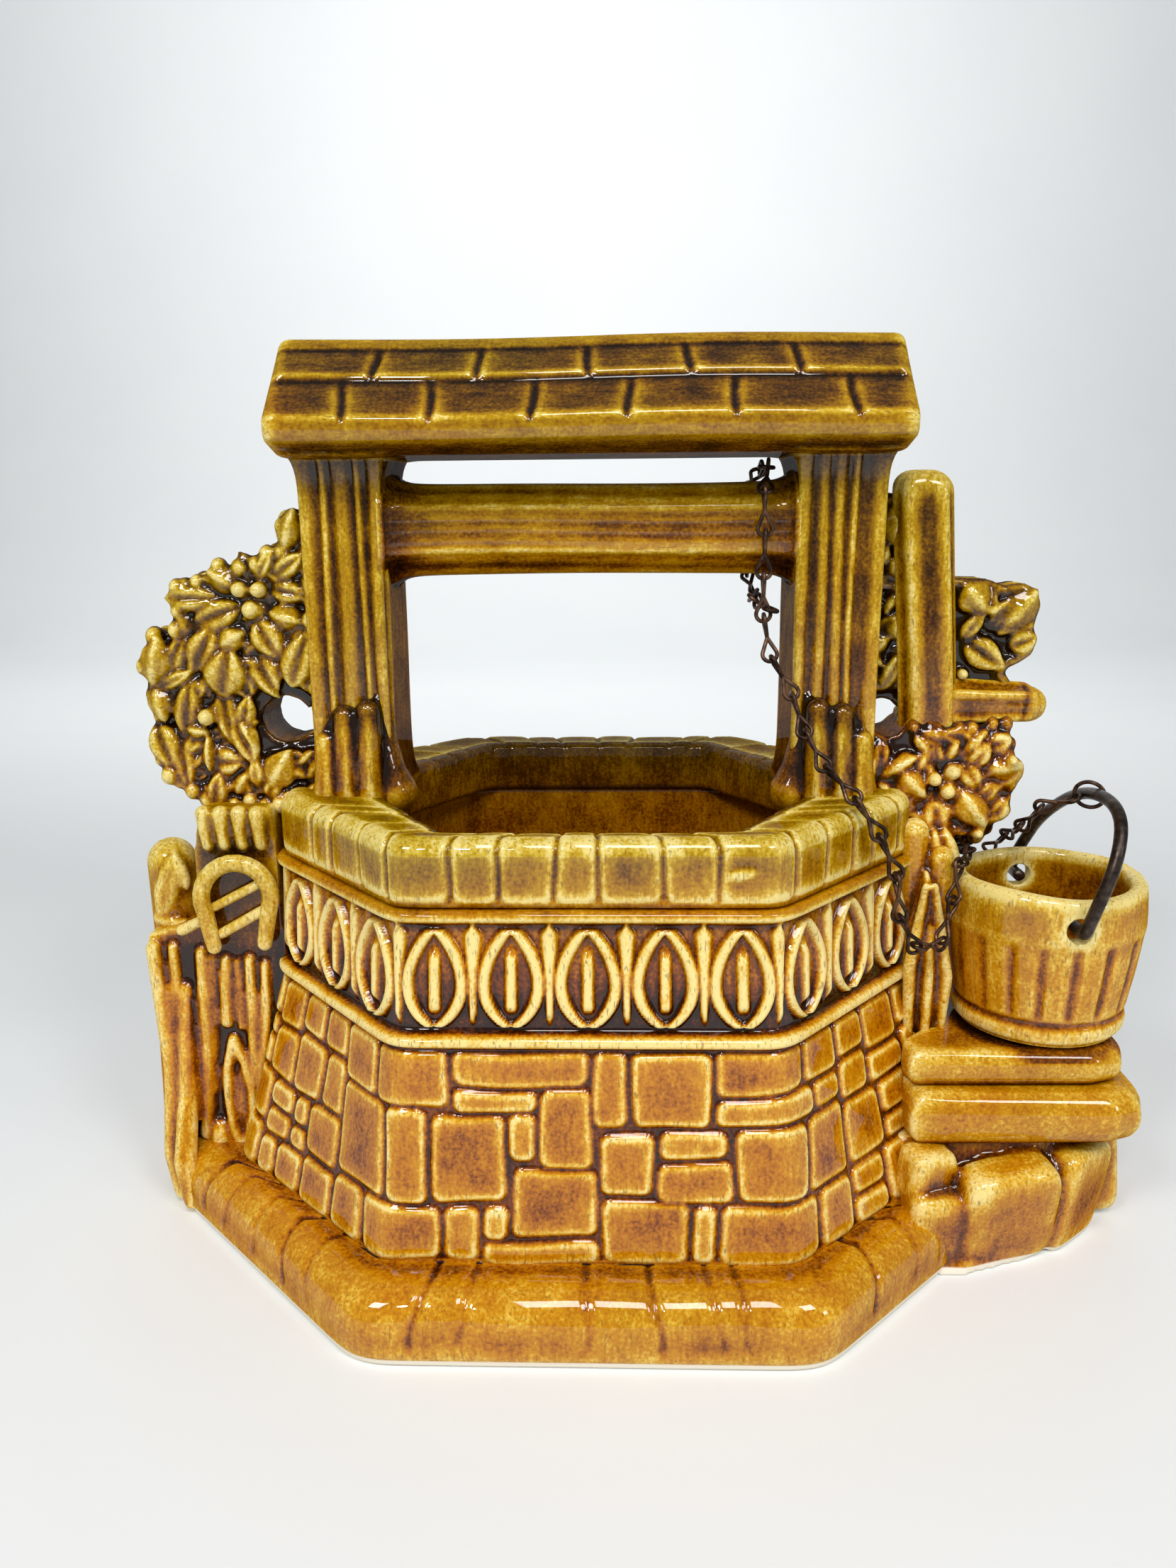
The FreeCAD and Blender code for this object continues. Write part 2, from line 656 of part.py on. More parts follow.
def make_right_side():
    pole = doc.addObject("Part::Cylinder", "pole_core")
    bind(pole, "Radius", S.pole_radius)
    bind(pole, "Height", S.pole_length)
    pole.Placement = Placement(Vector(), Rotation(Vector(0, -1, 0), 1.0))
    bind(pole, "Placement.Base.x", S.pole_foot)
    bind(pole, "Placement.Base.y", -S.pole_radius * 0.5)
    bind(pole, "Placement.Base.z", S.pole_base)
    bind(pole, "Placement.Rotation.Angle", S.pole_lean)
    doc.recompute()
    rounded = doc.addObject("Part::Fillet", "pole_round")
    rounded.Base = pole
    top_edge = max(enumerate(pole.Shape.Edges, start=1), key=lambda pair: centre_of(pair[1]).z)[0]
    radius = S.pole_radius.value * 0.55
    rounded.Edges = [(top_edge, radius, radius)]
    cut("right_pole", rounded, [NODES["right_post"], NODES["coping_ring"]])

    rail = doc.addObject("Part::Cylinder", "rail_blank")
    rail.Placement = Placement(Vector(), Rotation(Vector(0, 1, 0), 90))
    bind(rail, "Radius", S.rail_radius)
    bind(rail, "Height", S.rail_end - S.pole_foot)
    bind(rail, "Placement.Base.x", S.pole_foot)
    bind(rail, "Placement.Base.y", -S.rail_radius)
    bind(rail, "Placement.Base.z", S.rail_height)
    doc.recompute()
    end_round = doc.addObject("Part::Fillet", "rail_round")
    end_round.Base = rail
    end_edge = [number for number, edge in enumerate(rail.Shape.Edges, start=1)
                if edge.BoundBox.XLength < 1e-6 and edge.BoundBox.XMin > S.rail_end.value - 1e-6][0]
    end_radius = S.rail_radius.value * 0.35
    end_round.Edges = [(end_edge, end_radius, end_radius)]
    cut("right_rail", end_round, [NODES["right_pole"]])
    doc.recompute()


def make_right_foliage():
    top = S.coping_top.value
    depth = S.scenery_depth_half.value
    proud = depth + S.leaf_proud.value
    post = NODES["right_post"].Shape
    pole = NODES["right_pole"].Shape
    rail = NODES["right_rail"].Shape
    edge = post_x(1, 0.0)
    # The strip of small leaves between the post and the pole
    strip = [slab_xz([(edge - 1, top + 15.5), (edge + 13, top + 15.5), (edge + 10, top + 55.0),
                      (edge - 1, top + 56.5)], -depth * 0.45, depth * 0.45)]
    for number in range(6):
        strip.append(lens_prism(edge + 2.6, top + 20.0 + 6.4 * number, 60 if number % 2 else 120, 6.0, 3.4,
                                depth * 0.45 + 1.0))
    feature("right_ivy", fused_minus(strip, [post, pole, rail, side_hole(1)]))

    # The leaf above the rail: distance past the post, height over the coping
    upper = [(12.0, 26.5), (17.5, 33.0), (23.0, 39.5), (30.0, 40.0), (31.5, 33.0), (28.5, 29.0), (31.0, 24.0),
             (29.5, 18.5), (14.0, 18.5)]
    solids = [slab_xz([(edge + x, top + z) for x, z in upper], -depth * 0.55, depth * 0.55)]
    solids.append(lens_prism(edge + 24.0, top + 33.5, 50, 12, 5.6, depth * 0.55 + 1.2))
    solids.append(lens_prism(edge + 24.5, top + 25.0, 10, 11, 5.2, depth * 0.55 + 0.9))
    solids.append(lens_prism(edge + 19.0, top + 28.0, 100, 10, 4.6, depth * 0.55 + 0.6))
    feature("right_leaf", fused_minus(solids, [pole, rail, NODES["right_ivy"].Shape]))

    # The flower and leaves over the coping's right side
    lower = [(-0.5, 1.0), (3.0, 10.0), (11.0, 12.0), (26.0, 12.0), (30.5, 3.0), (28.0, 0.0), (28.0, -5.0),
             (25.0, -8.0), (7.0, -12.0), (5.0, -4.0)]
    solids = [slab_xz([(edge + x, top + z) for x, z in lower], -depth - 2.0, depth)]
    solids += flower(edge + 12.8, top + 3.6, 7, 9.0, proud + 0.6)
    solids.append(lens_prism(edge + 24.5, top + 4.5, 60, 10, 5.0, proud - 0.2))
    solids.append(lens_prism(edge + 22.0, top - 3.0, -20, 10, 4.8, proud - 0.7))
    tools = well_shapes() + [post, pole, rail, NODES["right_ivy"].Shape, NODES["right_leaf"].Shape,
                             side_hole(1)]
    feature("right_foliage", fused_minus(solids, tools))


# The bench: rocks, two slabs and the bucket that stands on them

def make_bench():
    front, back, right, left = S.bench_front, S.bench_back, S.bench_right, S.bench_left
    over = S.rock_overhang
    well = [NODES[name] for name in ("plinth", "well_wall", "lower_bead")]
    rocks = new_body("rocks_blank")
    outline = [(left, -front - 5.0), (left + 12.0, -front - 5.5), (left + 26.0, -front - 0.5),
               (right - 12.0, -front + 6.5), (right - 4.0, -front + 13.5), (right, -front + 22.0),
               (right, back - 3.0), (right - 8.0, back + 1.0), (left + 10.5, back + 1.0),
               (left + 10.5, -front + 16.0), (left, -front + 5.0)]
    top = [(left, -front + over), (left + 14.0, -front + over), (left + 28.0, -front + over + 0.8),
           (right - 13.0, -front + over + 3.0), (right - 6.5, -front + 13.5), (right - over, -front + 22.0),
           (right - over, back - over - 1.0), (right - 9.0, back - over), (left + 10.5, back - over),
           (left + 10.5, -front + 16.0), (left, -front + 5.0)]
    low = polygon(new_sketch(rocks, "rocks_low", "XY_Plane"), outline)
    high = polygon(new_sketch(rocks, "rocks_high", "XY_Plane", S.rock_height), top)
    body_loft = rocks.newObject("PartDesign::AdditiveLoft", "rocks_loft")
    body_loft.Profile = low
    body_loft.Sections = [high]
    body_loft.Ruled = True
    cut("bench_rocks", rocks, well)

    lower = slab("lower_slab_blank", S.rock_height, S.lower_slab_thick, (left, right, -front, back), 7.5,
                 7.5)
    cut("bench_lower_slab", lower, well)
    setback = S.slab_setback
    upper = slab("upper_slab_blank", S.rock_height + S.lower_slab_thick, S.upper_slab_thick,
                 (left + 2.5, right - setback, -front + setback, back - setback), 5.5, 3.2)
    cut("bench_upper_slab", upper, well)


def slab(name, base, thick, sides, corner, heel):
    """A slab with cut corners at its outer end; its heel runs along the well's wall."""
    left, right, front, back = sides
    body = new_body(name)
    outline = polygon(new_sketch(body, f"{name}_outline", "XY_Plane", base),
                      [(left, front), (right - corner, front), (right, front + corner),
                       (right, back - corner), (right - corner, back), (left + heel, back),
                       (left + heel, front + 17.5), (left, front + 8.5)])
    pad = body.newObject("PartDesign::Pad", f"{name}_pad")
    pad.Profile = outline
    bind(pad, "Length", thick)
    inner = left.value + heel + 1.0
    fillet(body, pad, S.slab_round, lambda edge: is_level(edge) and centre_of(edge).x > inner)
    return body


BENCH_TOP = S.rock_height + S.lower_slab_thick + S.upper_slab_thick


def make_bucket():
    """A hollow staved bucket with two holes for its bail, turned about its own axis."""
    body = new_body("bucket")
    foot, belly, rim = S.bucket_foot_radius, S.bucket_belly_radius, S.bucket_rim_radius
    wall = S.bucket_wall
    profile = polygon(new_sketch(body, "bucket_profile", "XZ_Plane"),
                      [(0, 0), (foot, 0), (belly, S.bucket_belly_height), (rim, S.bucket_height),
                       (rim - wall, S.bucket_height), (belly - wall, S.bucket_belly_height),
                       (foot - wall, S.bucket_floor), (0, S.bucket_floor)])
    turned = body.newObject("PartDesign::Revolution", "bucket_turned")
    turned.Profile = profile
    turned.ReferenceAxis = (profile, ["V_Axis"])
    turned.Angle = 360
    top = S.bucket_height.value
    rounded = fillet(body, turned, S.bucket_wall * 0.4,
                     lambda edge: is_level(edge) and abs(edge.BoundBox.ZMax - top) < 1e-6)
    drill = new_sketch(body, "bucket_holes", "XZ_Plane")
    drill.addGeometry(Part.Circle(Vector(0, S.pivot_height.value, 0), Vector(0, 0, 1),
                                  S.pivot_hole_radius.value), False)
    drill.addConstraint(Sketcher.Constraint("PointOnObject", 0, 3, -2))
    pin_point(drill, 0, 3, False, S.pivot_height)
    number = drill.addConstraint(Sketcher.Constraint("Radius", 0, S.pivot_hole_radius.value))
    drill.setExpression(f"Constraints[{number}]", S.pivot_hole_radius.text)
    holes = body.newObject("PartDesign::Pocket", "bucket_drilled")
    holes.Profile = drill
    holes.Type = "ThroughAll"
    holes.SideType = "Symmetric"
    doc.recompute()
    if holes.Shape.Volume >= rounded.Shape.Volume - 1.0:
        raise RuntimeError("bucket: the bail holes cut nothing")
    bind(body, "Placement.Base.x", S.bucket_x)
    bind(body, "Placement.Base.y", -S.bucket_forward)
    bind(body, "Placement.Base.z", BENCH_TOP)
    return keep("bucket", body)


def make_stalk():
    """The stalk that climbs from the bench to the leaves, beside the bucket."""
    base = S.rock_height.value + S.lower_slab_thick.value
    top = S.coping_base.value - 5.0
    x = S.coping_width_half.value + 3.3
    length = (top - base) * 1.12
    solid = lens_prism(x, base + length / 2 - 2.0, 93, length, 8.2, 4.2)
    solid.translate(Vector(0, -16.5, 0))
    doc.recompute()
    tools = well_shapes() + [NODES[name].Shape for name in
                             ("bench_lower_slab", "bench_upper_slab", "bench_rocks", "bucket")]
    feature("right_stalk", fused_minus([solid, solid], tools))


# The bail and the chain

def rounded_path(points, radius):
    """Straight runs joined by tangent arcs; an arc shrinks where its runs are short."""
    edges = []
    start = points[0]
    for before, corner, after in zip(points, points[1:], points[2:]):
        into = (corner - before).normalize()
        out = (after - corner).normalize()
        turn = into.getAngle(out)
        room = 0.48 * min((corner - before).Length, (after - corner).Length)
        reach = min(radius * math.tan(turn / 2), room)
        bend = reach / math.tan(turn / 2)
        first, last = corner - into * reach, corner + out * reach
        bisector = (out - into).normalize()
        centre = corner + bisector * (bend / math.cos(turn / 2))
        middle = centre - bisector * bend
        if (first - start).Length > 1e-6:
            edges.append(Part.LineSegment(start, first).toShape())
        edges.append(Part.Arc(first, middle, last).toShape())
        start = last
    edges.append(Part.LineSegment(start, points[-1]).toShape())
    return Part.Wire(edges)


def tube(path, radius):
    start = path.Edges[0]
    direction = start.tangentAt(start.FirstParameter)
    circle = Part.Wire(Part.makeCircle(radius, start.valueAt(start.FirstParameter), direction))
    solid = path.makePipeShell([circle], True, False)
    expected = math.pi * radius * radius * path.Length
    if abs(solid.Volume - expected) > 0.02 * expected:
        raise RuntimeError("a wire's volume doesn't fit its length")
    return solid


def bail_frame():
    """The bail's own plane: y along the pivots, z up along the bail, turned by its lean."""
    pivot = Vector(S.bucket_x.value, -S.bucket_forward.value, BENCH_TOP.value + S.pivot_height.value)
    return Placement(pivot, Rotation(Vector(0, 1, 0), S.bail_lean.value))


def bucket_radius_at_pivot():
    rise = S.pivot_height.value - S.bucket_belly_height.value
    share = rise / (S.bucket_height.value - S.bucket_belly_height.value)
    return S.bucket_belly_radius.value + share * (S.bucket_rim_radius.value - S.bucket_belly_radius.value)


def make_bail():
    leg = S.bucket_belly_radius.value + S.bail_gap.value + S.bail_wire_radius.value
    inside = bucket_radius_at_pivot() - S.bucket_wall.value - 1.6
    high = S.bail_height.value
    points = [(-inside, 0.0), (-leg, 0.0), (-leg, 0.66 * high), (-0.66 * leg, high), (0.15 * leg, 0.985 * high),
              (0.8 * leg, 0.6 * high), (leg, 0.22 * high), (leg, 0.0), (inside, 0.0)]
    path = rounded_path([Vector(0, y, z) for y, z in points], 6.0)
    item = feature("bucket_bail", tube(path, S.bail_wire_radius.value))
    item.Placement = bail_frame()


def link_shape():
    """One jack chain link along X: two drop-shaped loops, a quarter turn apart, joined at the waist."""
    wire = S.link_wire_radius.value
    reach = S.link_pitch.value / 2 + wire + S.link_gap.value / 2
    radius = S.link_half_width.value - wire
    centre = reach - radius
    slant = math.asin(radius / centre)
    side = math.sqrt(centre * centre - radius * radius)
    sweep = 180.0 + 2.0 * math.degrees(slant)
    loop = [Part.makeTorus(radius, wire, Vector(), Vector(0, 0, 1), 0, 360, sweep)]
    loop[0].rotate(Vector(), Vector(0, 0, 1), -sweep / 2)
    loop[0].translate(Vector(centre, 0, 0))
    for sign in (-1, 1):
        run = Vector(math.cos(slant), sign * math.sin(slant), 0)
        loop.append(Part.makeCylinder(wire, side, Vector(), run))
    other = [solid.copy() for solid in loop]
    for solid in other:
        solid.rotate(Vector(), Vector(1, 0, 0), 90)
        solid.rotate(Vector(), Vector(0, 0, 1), 180)
    return Part.makeSphere(wire).multiFuse(loop + other)


def place_link(start, end, aside):
    """A frame along the link, whose first loop holds the direction called aside."""
    along = (end - start).normalize()
    across = (aside - along * aside.dot(along)).normalize()
    normal = across.cross(along)
    matrix = FreeCAD.Matrix(along.x, normal.x, across.x, 0, along.y, normal.y, across.y, 0,
                            along.z, normal.z, across.z, 0, 0, 0, 0, 1)
    # The link slides on until its last loop is centred on its joint, where the next link turns
    slide = S.link_half_width.value - 2 * S.link_wire_radius.value - S.link_gap.value / 2
    return Placement((start + end) * 0.5 + along * slide, Placement(matrix).Rotation), across


# Chain routes, chosen by hand: where the joints between links lie. The wrap's heights start at the crossbar's
# underside, and the others' at the surface that the planter stands on
WRAP_ROUTE = [(32.2, -11.0, -8.6), (32.1, -10.7, -0.7), (32.2, -10.6, 7.1), (31.9, -10.7, 14.8),
              (33.1, -4.6, 19.7), (32.7, 3.3, 19.7), (30.5, 9.9, 15.9), (30.3, 10.6, 8.0),
              (31.1, 10.4, 0.2), (31.9, 4.4, -4.4), (31.3, -3.2, -4.8), (33.5, -10.8, -6.2)]
SWAG_ROUTE = [(32.2, -10.5, 120.9), (33.3, -13.3, 113.4), (37.2, -15.5, 106.6), (39.2, -19.1, 100.2),
              (42.1, -24.2, 94.8), (47.0, -28.1, 89.8), (51.1, -30.2, 83.8), (54.5, -30.9, 76.6),
              (55.4, -31.3, 69.0), (58.9, -29.4, 62.0), (64.7, -25.3, 60.9), (67.1, -23.2, 68.0),
              (69.1, -18.8, 73.9)]
RIM_ROUTE = [(69.1, -18.8, 73.9), (72.7, -12.1, 74.7), (74.6, -4.6, 74.2), (75.1, 2.7, 72.1),
             (76.0, 7.4, 66.7)]
LEAD_ROUTE = [(92.8, -13.8, 86.2), (87.3, -9.2, 83.1), (85.6, -4.0, 77.9), (85.0, 2.8, 74.1),
              (83.6, 8.8, 69.4)]
# The direction that a strand's first loop holds; the rim's links carry on from the swag's
SIDEWAYS = Vector(1, 0, 0)
DEPTHWISE = Vector(0, 1, 0)
# Twist per link, in degrees, and the link it starts from
WRAP_TWIST = (22.5, 8)
NO_TWIST = (0.0, 99)


def ring_normal():
    """The ring's axis: across the chain's first link, and as near to the bail's wire as that allows."""
    along = (Vector(*LEAD_ROUTE[1]) - Vector(*LEAD_ROUTE[0])).normalize()
    return (DEPTHWISE - along * DEPTHWISE.dot(along)).normalize(), along


def make_chain():
    master = link_shape()
    if not master.isValid() or len(master.Solids) != 1:
        raise RuntimeError("the chain link isn't one solid")
    wrap_route = [(x, y, z + S.bar_base.value) for x, y, z in WRAP_ROUTE]
    strands = [("wrap", wrap_route, SIDEWAYS, WRAP_TWIST), ("swag", SWAG_ROUTE, DEPTHWISE, NO_TWIST),
               ("rim", RIM_ROUTE, None, NO_TWIST), ("lead", LEAD_ROUTE, ring_normal()[0], NO_TWIST)]
    aside = SIDEWAYS
    for strand, route, first_aside, (twist, twist_from) in strands:
        aside = aside if first_aside is None else first_aside
        joints = [Vector(*point) for point in route]
        for number, (start, end) in enumerate(zip(joints, joints[1:]), start=1):
            if number >= twist_from:
                aside = Rotation(end - start, twist).multVec(aside)
            item = feature(f"{strand}_link_{number:02d}", master.copy())
            item.Placement, aside = place_link(start, end, aside)


def make_bail_ring():
    """The ring that joins the chain to the bail, round the bail's wire."""
    normal, along = ring_normal()
    wire = S.link_wire_radius.value
    item = feature("bail_ring", Part.makeTorus(S.ring_radius.value, wire, Vector(), Vector(0, 0, 1)))
    spot = bail_frame().multVec(Vector(0, -1.0, 0.99 * S.bail_height.value))
    item.Placement = Placement(spot + along * S.ring_shift.value, Rotation(Vector(0, 0, 1), normal))


def check_and_write():
    doc.recompute()
    for item in doc.Objects:
        if "Invalid" in item.State or "Error" in item.State:
            raise RuntimeError(f"{item.Label} failed: {item.State}")
    os.makedirs("parts", exist_ok=True)
    for label, item in NODES.items():
        shape = item.Shape
        if shape.isNull() or not shape.isValid():
            raise RuntimeError(f"{label} is not a valid shape")
        if len(shape.Solids) != 1:
            raise RuntimeError(f"{label} holds {len(shape.Solids)} solids")
        shape.exportStep(f"parts/{label}.step")
        box = shape.optimalBoundingBox()
        print(f"{label:18s} {shape.Volume:10.1f} mm3  x {box.XMin:7.2f} {box.XMax:7.2f}"
              f"  y {box.YMin:7.2f} {box.YMax:7.2f}  z {box.ZMin:7.2f} {box.ZMax:7.2f}")
    print(len(NODES), "pieces")


make_well()
for post_side, post_name in ((-1, "left"), (1, "right")):
    make_post(post_side, f"{post_name}_post")
    make_brace(post_side, f"{post_name}_brace")
make_crossbar()
make_roof()
make_left_foliage()
make_stump()
doc.recompute()
make_horseshoe()
make_right_side()
make_right_foliage()
make_bench()
make_bucket()
make_stalk()
make_bail()
make_bail_ring()
make_chain()
check_and_write()
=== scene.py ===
import logging
import math
from dataclasses import astuple, dataclass, field, replace
from enum import Enum
from functools import lru_cache
from typing import Callable, Dict, Iterable, List, Optional, Sequence, Tuple, Union

import bmesh
import bpy
import numpy as np
from mathutils import Matrix, Vector


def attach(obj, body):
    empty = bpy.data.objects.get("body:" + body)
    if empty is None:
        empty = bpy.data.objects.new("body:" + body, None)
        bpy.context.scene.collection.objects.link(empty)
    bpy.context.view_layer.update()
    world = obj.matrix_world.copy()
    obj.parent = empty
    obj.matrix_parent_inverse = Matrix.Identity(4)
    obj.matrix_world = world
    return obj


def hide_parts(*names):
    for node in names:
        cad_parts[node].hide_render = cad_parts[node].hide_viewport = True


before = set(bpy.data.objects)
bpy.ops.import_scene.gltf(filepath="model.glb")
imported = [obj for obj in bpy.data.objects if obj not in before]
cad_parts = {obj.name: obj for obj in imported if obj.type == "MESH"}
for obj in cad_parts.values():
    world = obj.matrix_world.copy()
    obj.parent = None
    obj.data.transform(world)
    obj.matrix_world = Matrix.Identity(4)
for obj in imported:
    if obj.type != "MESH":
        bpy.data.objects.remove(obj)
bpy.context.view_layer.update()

LOG = logging.getLogger("planter")
MM = 0.001
POTTERY = "pottery"
# The front and the back of a form that is alike on both
FACES = (-1, 1)
Array = np.ndarray
Pair = Tuple[Array, Array]
Colour = Tuple[float, float, float, float]
Flat = Tuple[float, float]
Point = Tuple[float, float, float]


def tone(red: float, green: float, blue: float) -> Colour:
    """Turn a screen colour of 0 to 255 into Blender's linear colour."""
    def linear(value: float) -> float:
        """One channel, from the screen's curve to linear light."""
        share = value / 255.0
        return share / 12.92 if share <= 0.04045 else ((share + 0.055) / 1.055) ** 2.4
    return (linear(red), linear(green), linear(blue), 1.0)


# Shader arithmetic

Number = Union[float, "Value"]


@dataclass(frozen=True)
class Value:
    """A shader socket that takes part in Python arithmetic, and the board that its nodes are on."""

    board: "Board"
    socket: bpy.types.NodeSocket

    def __add__(self, other: Number) -> "Value":
        """Sum."""
        return self.board.maths("ADD", self, other)

    __radd__ = __add__

    def __sub__(self, other: Number) -> "Value":
        """Difference."""
        return self.board.maths("SUBTRACT", self, other)

    def __rsub__(self, other: Number) -> "Value":
        """Difference, with the number first."""
        return self.board.maths("SUBTRACT", other, self)

    def __mul__(self, other: Number) -> "Value":
        """Product."""
        return self.board.maths("MULTIPLY", self, other)

    __rmul__ = __mul__

    def clamp(self) -> "Value":
        """The value held between 0 and 1."""
        return self.board.node("ShaderNodeClamp", {}, {"Value": self})

    def step(self, low: float, high: float) -> "Value":
        """A smooth step from 0 at low to 1 at high."""
        return self.board.node("ShaderNodeMapRange", {"interpolation_type": "SMOOTHSTEP"},
                               {"Value": self, "From Min": low, "From Max": high})


class Board:
    """The node tree of one material, with short ways to add nodes."""

    def __init__(self, name: str) -> None:
        """Make a material of this name, whose tree holds only a Principled shader."""
        self.material = bpy.data.materials.new(name)
        self.material.use_nodes = True
        self.tree = self.material.node_tree
        self.shader = self.tree.nodes["Principled BSDF"]

    def node(self, kind: str, settings: Dict[str, object], values: Dict[object, object],
             out: Union[int, str] = 0) -> Value:
        """Add a node: its settings first, then its sockets.

        Args:
            kind: the node's type.
            settings: properties to set.
            values: numbers, colours or links by socket name or number.
            out: the output to return.

        Returns:
            The chosen output.
        """
        made = self.tree.nodes.new(kind)
        for key, setting in settings.items():
            setattr(made, key, setting)
        for key, value in values.items():
            self.feed(made.inputs[key], value)
        return Value(self, made.outputs[out])

    def feed(self, socket: bpy.types.NodeSocket, value: object) -> None:
        """Link a value to a socket, or set the socket to a number or colour."""
        if isinstance(value, Value):
            self.tree.links.new(value.socket, socket)
        else:
            socket.default_value = value

    def maths(self, operation: str, first: Number, second: Number) -> Value:
        """Add a Math node."""
        return self.node("ShaderNodeMath", {"operation": operation}, {0: first, 1: second})

    def mix(self, first: object, second: object, share: Number) -> Value:
        """Mix two colours, from the first at a share of 0 to the second at 1."""
        return self.node("ShaderNodeMix", {"data_type": "RGBA"}, {0: share, 6: first, 7: second}, 2)

    def place(self, stretch: Point = (1.0, 1.0, 1.0)) -> Value:
        """The place on the object in millimetres, times a stretch on each axis."""
        where = self.node("ShaderNodeTexCoord", {}, {}, "Object")
        scale = tuple(1000.0 * part for part in stretch)
        return self.node("ShaderNodeVectorMath", {"operation": "MULTIPLY"}, {0: where, 1: scale})

    def noise(self, size: float, detail: float = 2.0, stretch: Point = (1.0, 1.0, 1.0)) -> Value:
        """Noise whose blots are about this many millimetres across, from 0 to 1."""
        return self.node("ShaderNodeTexNoise", {}, {"Vector": self.place(stretch), "Scale": 1.0 / size,
                                                    "Detail": detail}, "Fac")

    def ramp(self, value: Value, stops: Sequence[Tuple[float, Colour]]) -> Value:
        """Colours along a value from 0 to 1, at stops of place and colour."""
        made = self.node("ShaderNodeValToRGB", {}, {"Fac": value}, "Color")
        elements = made.socket.node.color_ramp.elements
        while len(elements) < len(stops):
            elements.new(1.0)
        for element, (place, colour) in zip(elements, stops):
            element.position, element.color = place, colour
        return made

    def attribute(self, name: str) -> Value:
        """A number kept on the mesh's points."""
        return self.node("ShaderNodeAttribute", {"attribute_name": name}, {}, "Fac")

    def finish(self, values: Dict[str, object]) -> None:
        """Set or link the Principled shader's inputs, by name."""
        for name, value in values.items():
            self.feed(self.shader.inputs[name], value)

    def bump(self, height: Value, strength: float, distance: float) -> None:
        """Raise the shading by a height, in millimetres."""
        made = self.node("ShaderNodeBump", {}, {"Height": height, "Strength": strength,
                                                "Distance": distance * MM}, "Normal")
        self.finish({"Normal": made})


# Finishes

class Grain(Enum):
    """Which way the brushed streaks run in a glaze."""

    UPRIGHT = (1.0, 1.0, 0.22)
    LENGTHWISE = (0.2, 1.0, 1.0)
    EVEN = (1.0, 1.0, 1.0)


STOPS = (0.0, 0.15, 0.32, 0.5, 0.68, 0.84, 1.0)
AMBER = (
    (34, 10, 1), (74, 28, 1), (126, 60, 1), (184, 110, 2), (206, 142, 14), (230, 184, 64), (246, 222, 142))
OLIVE = ((24, 12, 1), (56, 34, 1), (94, 64, 1), (136, 102, 1), (166, 132, 6), (200, 170, 52), (228, 208, 124))
AMBER_STOPS = tuple((place, tone(*screen)) for place, screen in zip(STOPS, AMBER))
OLIVE_STOPS = tuple((place, tone(*screen)) for place, screen in zip(STOPS, OLIVE))
SPECKS = tone(112, 62, 12)
BARE_CLAY = tone(240, 232, 214)
# How far relief, blots, streaks and fine mottling move the glaze along its ramp
RELIEF_SHARE, SMUDGE_SHARE, STREAK_SHARE, MOTTLE_SHARE = 0.54, 0.5, 0.36, 0.6
MIDDLE_LEVEL = 0.52
PATCH_SHARE = 0.6
# The clear coat where it faces the eye, and what it loses edge on
COAT, COAT_LOSS = 0.8, 0.72
# The height in millimetres where the bare foot ends
BARE_LOW, BARE_HIGH = 1.1, 1.5


@dataclass(frozen=True)
class Glaze:
    """A clear brown glaze over a pale body: dark where it pools, cream where it breaks on edges, and darker
    still where the relief that it reads carries painted shade.

    Its share of olive is olive_low at the height low_at and olive_high at high_at, in millimetres. The
    contrast is how strongly relief shows, and a foot has a lowest edge of bare clay.
    """

    name: str
    slot: str
    olive_low: float = 0.0
    olive_high: float = 0.6
    low_at: float = 20.0
    high_at: float = 150.0
    shade: float = 0.0
    contrast: float = 1.0
    grain: Grain = Grain.UPRIGHT
    foot: bool = False

    def make(self) -> bpy.types.Material:
        """Build the material.

        Returns:
            The finished material.
        """
        board = Board(self.name)
        relief = board.attribute("relief")
        streaks = board.noise(0.9, 3.0, self.grain.value)
        smudges = board.noise(7.0, 2.0)
        mottle = board.noise(0.6, 4.0)
        ripple = board.noise(2.6, 1.0)
        level = relief * (RELIEF_SHARE * self.contrast) + (MIDDLE_LEVEL + self.shade)
        level = level + (smudges - 0.5) * SMUDGE_SHARE + (streaks - 0.5) * STREAK_SHARE
        level = (level + (mottle - 0.5) * MOTTLE_SHARE).clamp()
        amber = board.ramp(level, AMBER_STOPS)
        olive = board.ramp(level, OLIVE_STOPS)
        height = board.node("ShaderNodeSeparateXYZ", {}, {0: board.place()}, 2)
        rise = height.step(self.low_at, self.high_at)
        patches = board.noise(22.0, 1.0)
        green = rise * (self.olive_high - self.olive_low) + self.olive_low + (patches - 0.5) * PATCH_SHARE
        colour = board.mix(amber, olive, green.clamp())
        specks = board.noise(0.42, 1.0, self.grain.value).step(0.58, 0.72) * level.step(0.3, 0.8) * 0.55
        colour = board.mix(colour, SPECKS, specks)
        edge_on = board.node("ShaderNodeLayerWeight", {}, {"Blend": 0.5}, "Facing")
        coat = COAT - edge_on.step(0.4, 0.8) * COAT_LOSS
        rough = 0.4 - level * 0.1
        if self.foot:
            bare = 1.0 - height.step(BARE_LOW, BARE_HIGH)
            colour = board.mix(colour, BARE_CLAY, bare)
            rough = rough + bare * 0.4
            coat = coat * (1.0 - bare)
        board.finish({"Coat Weight": coat, "Base Color": colour, "Roughness": rough,
                      "Specular IOR Level": 0.0, "Coat Roughness": 0.03, "Coat IOR": 1.6})
        board.bump(streaks * 0.4 + mottle * 0.25 + ripple * 1.4, 0.35, 0.14)
        return board.material


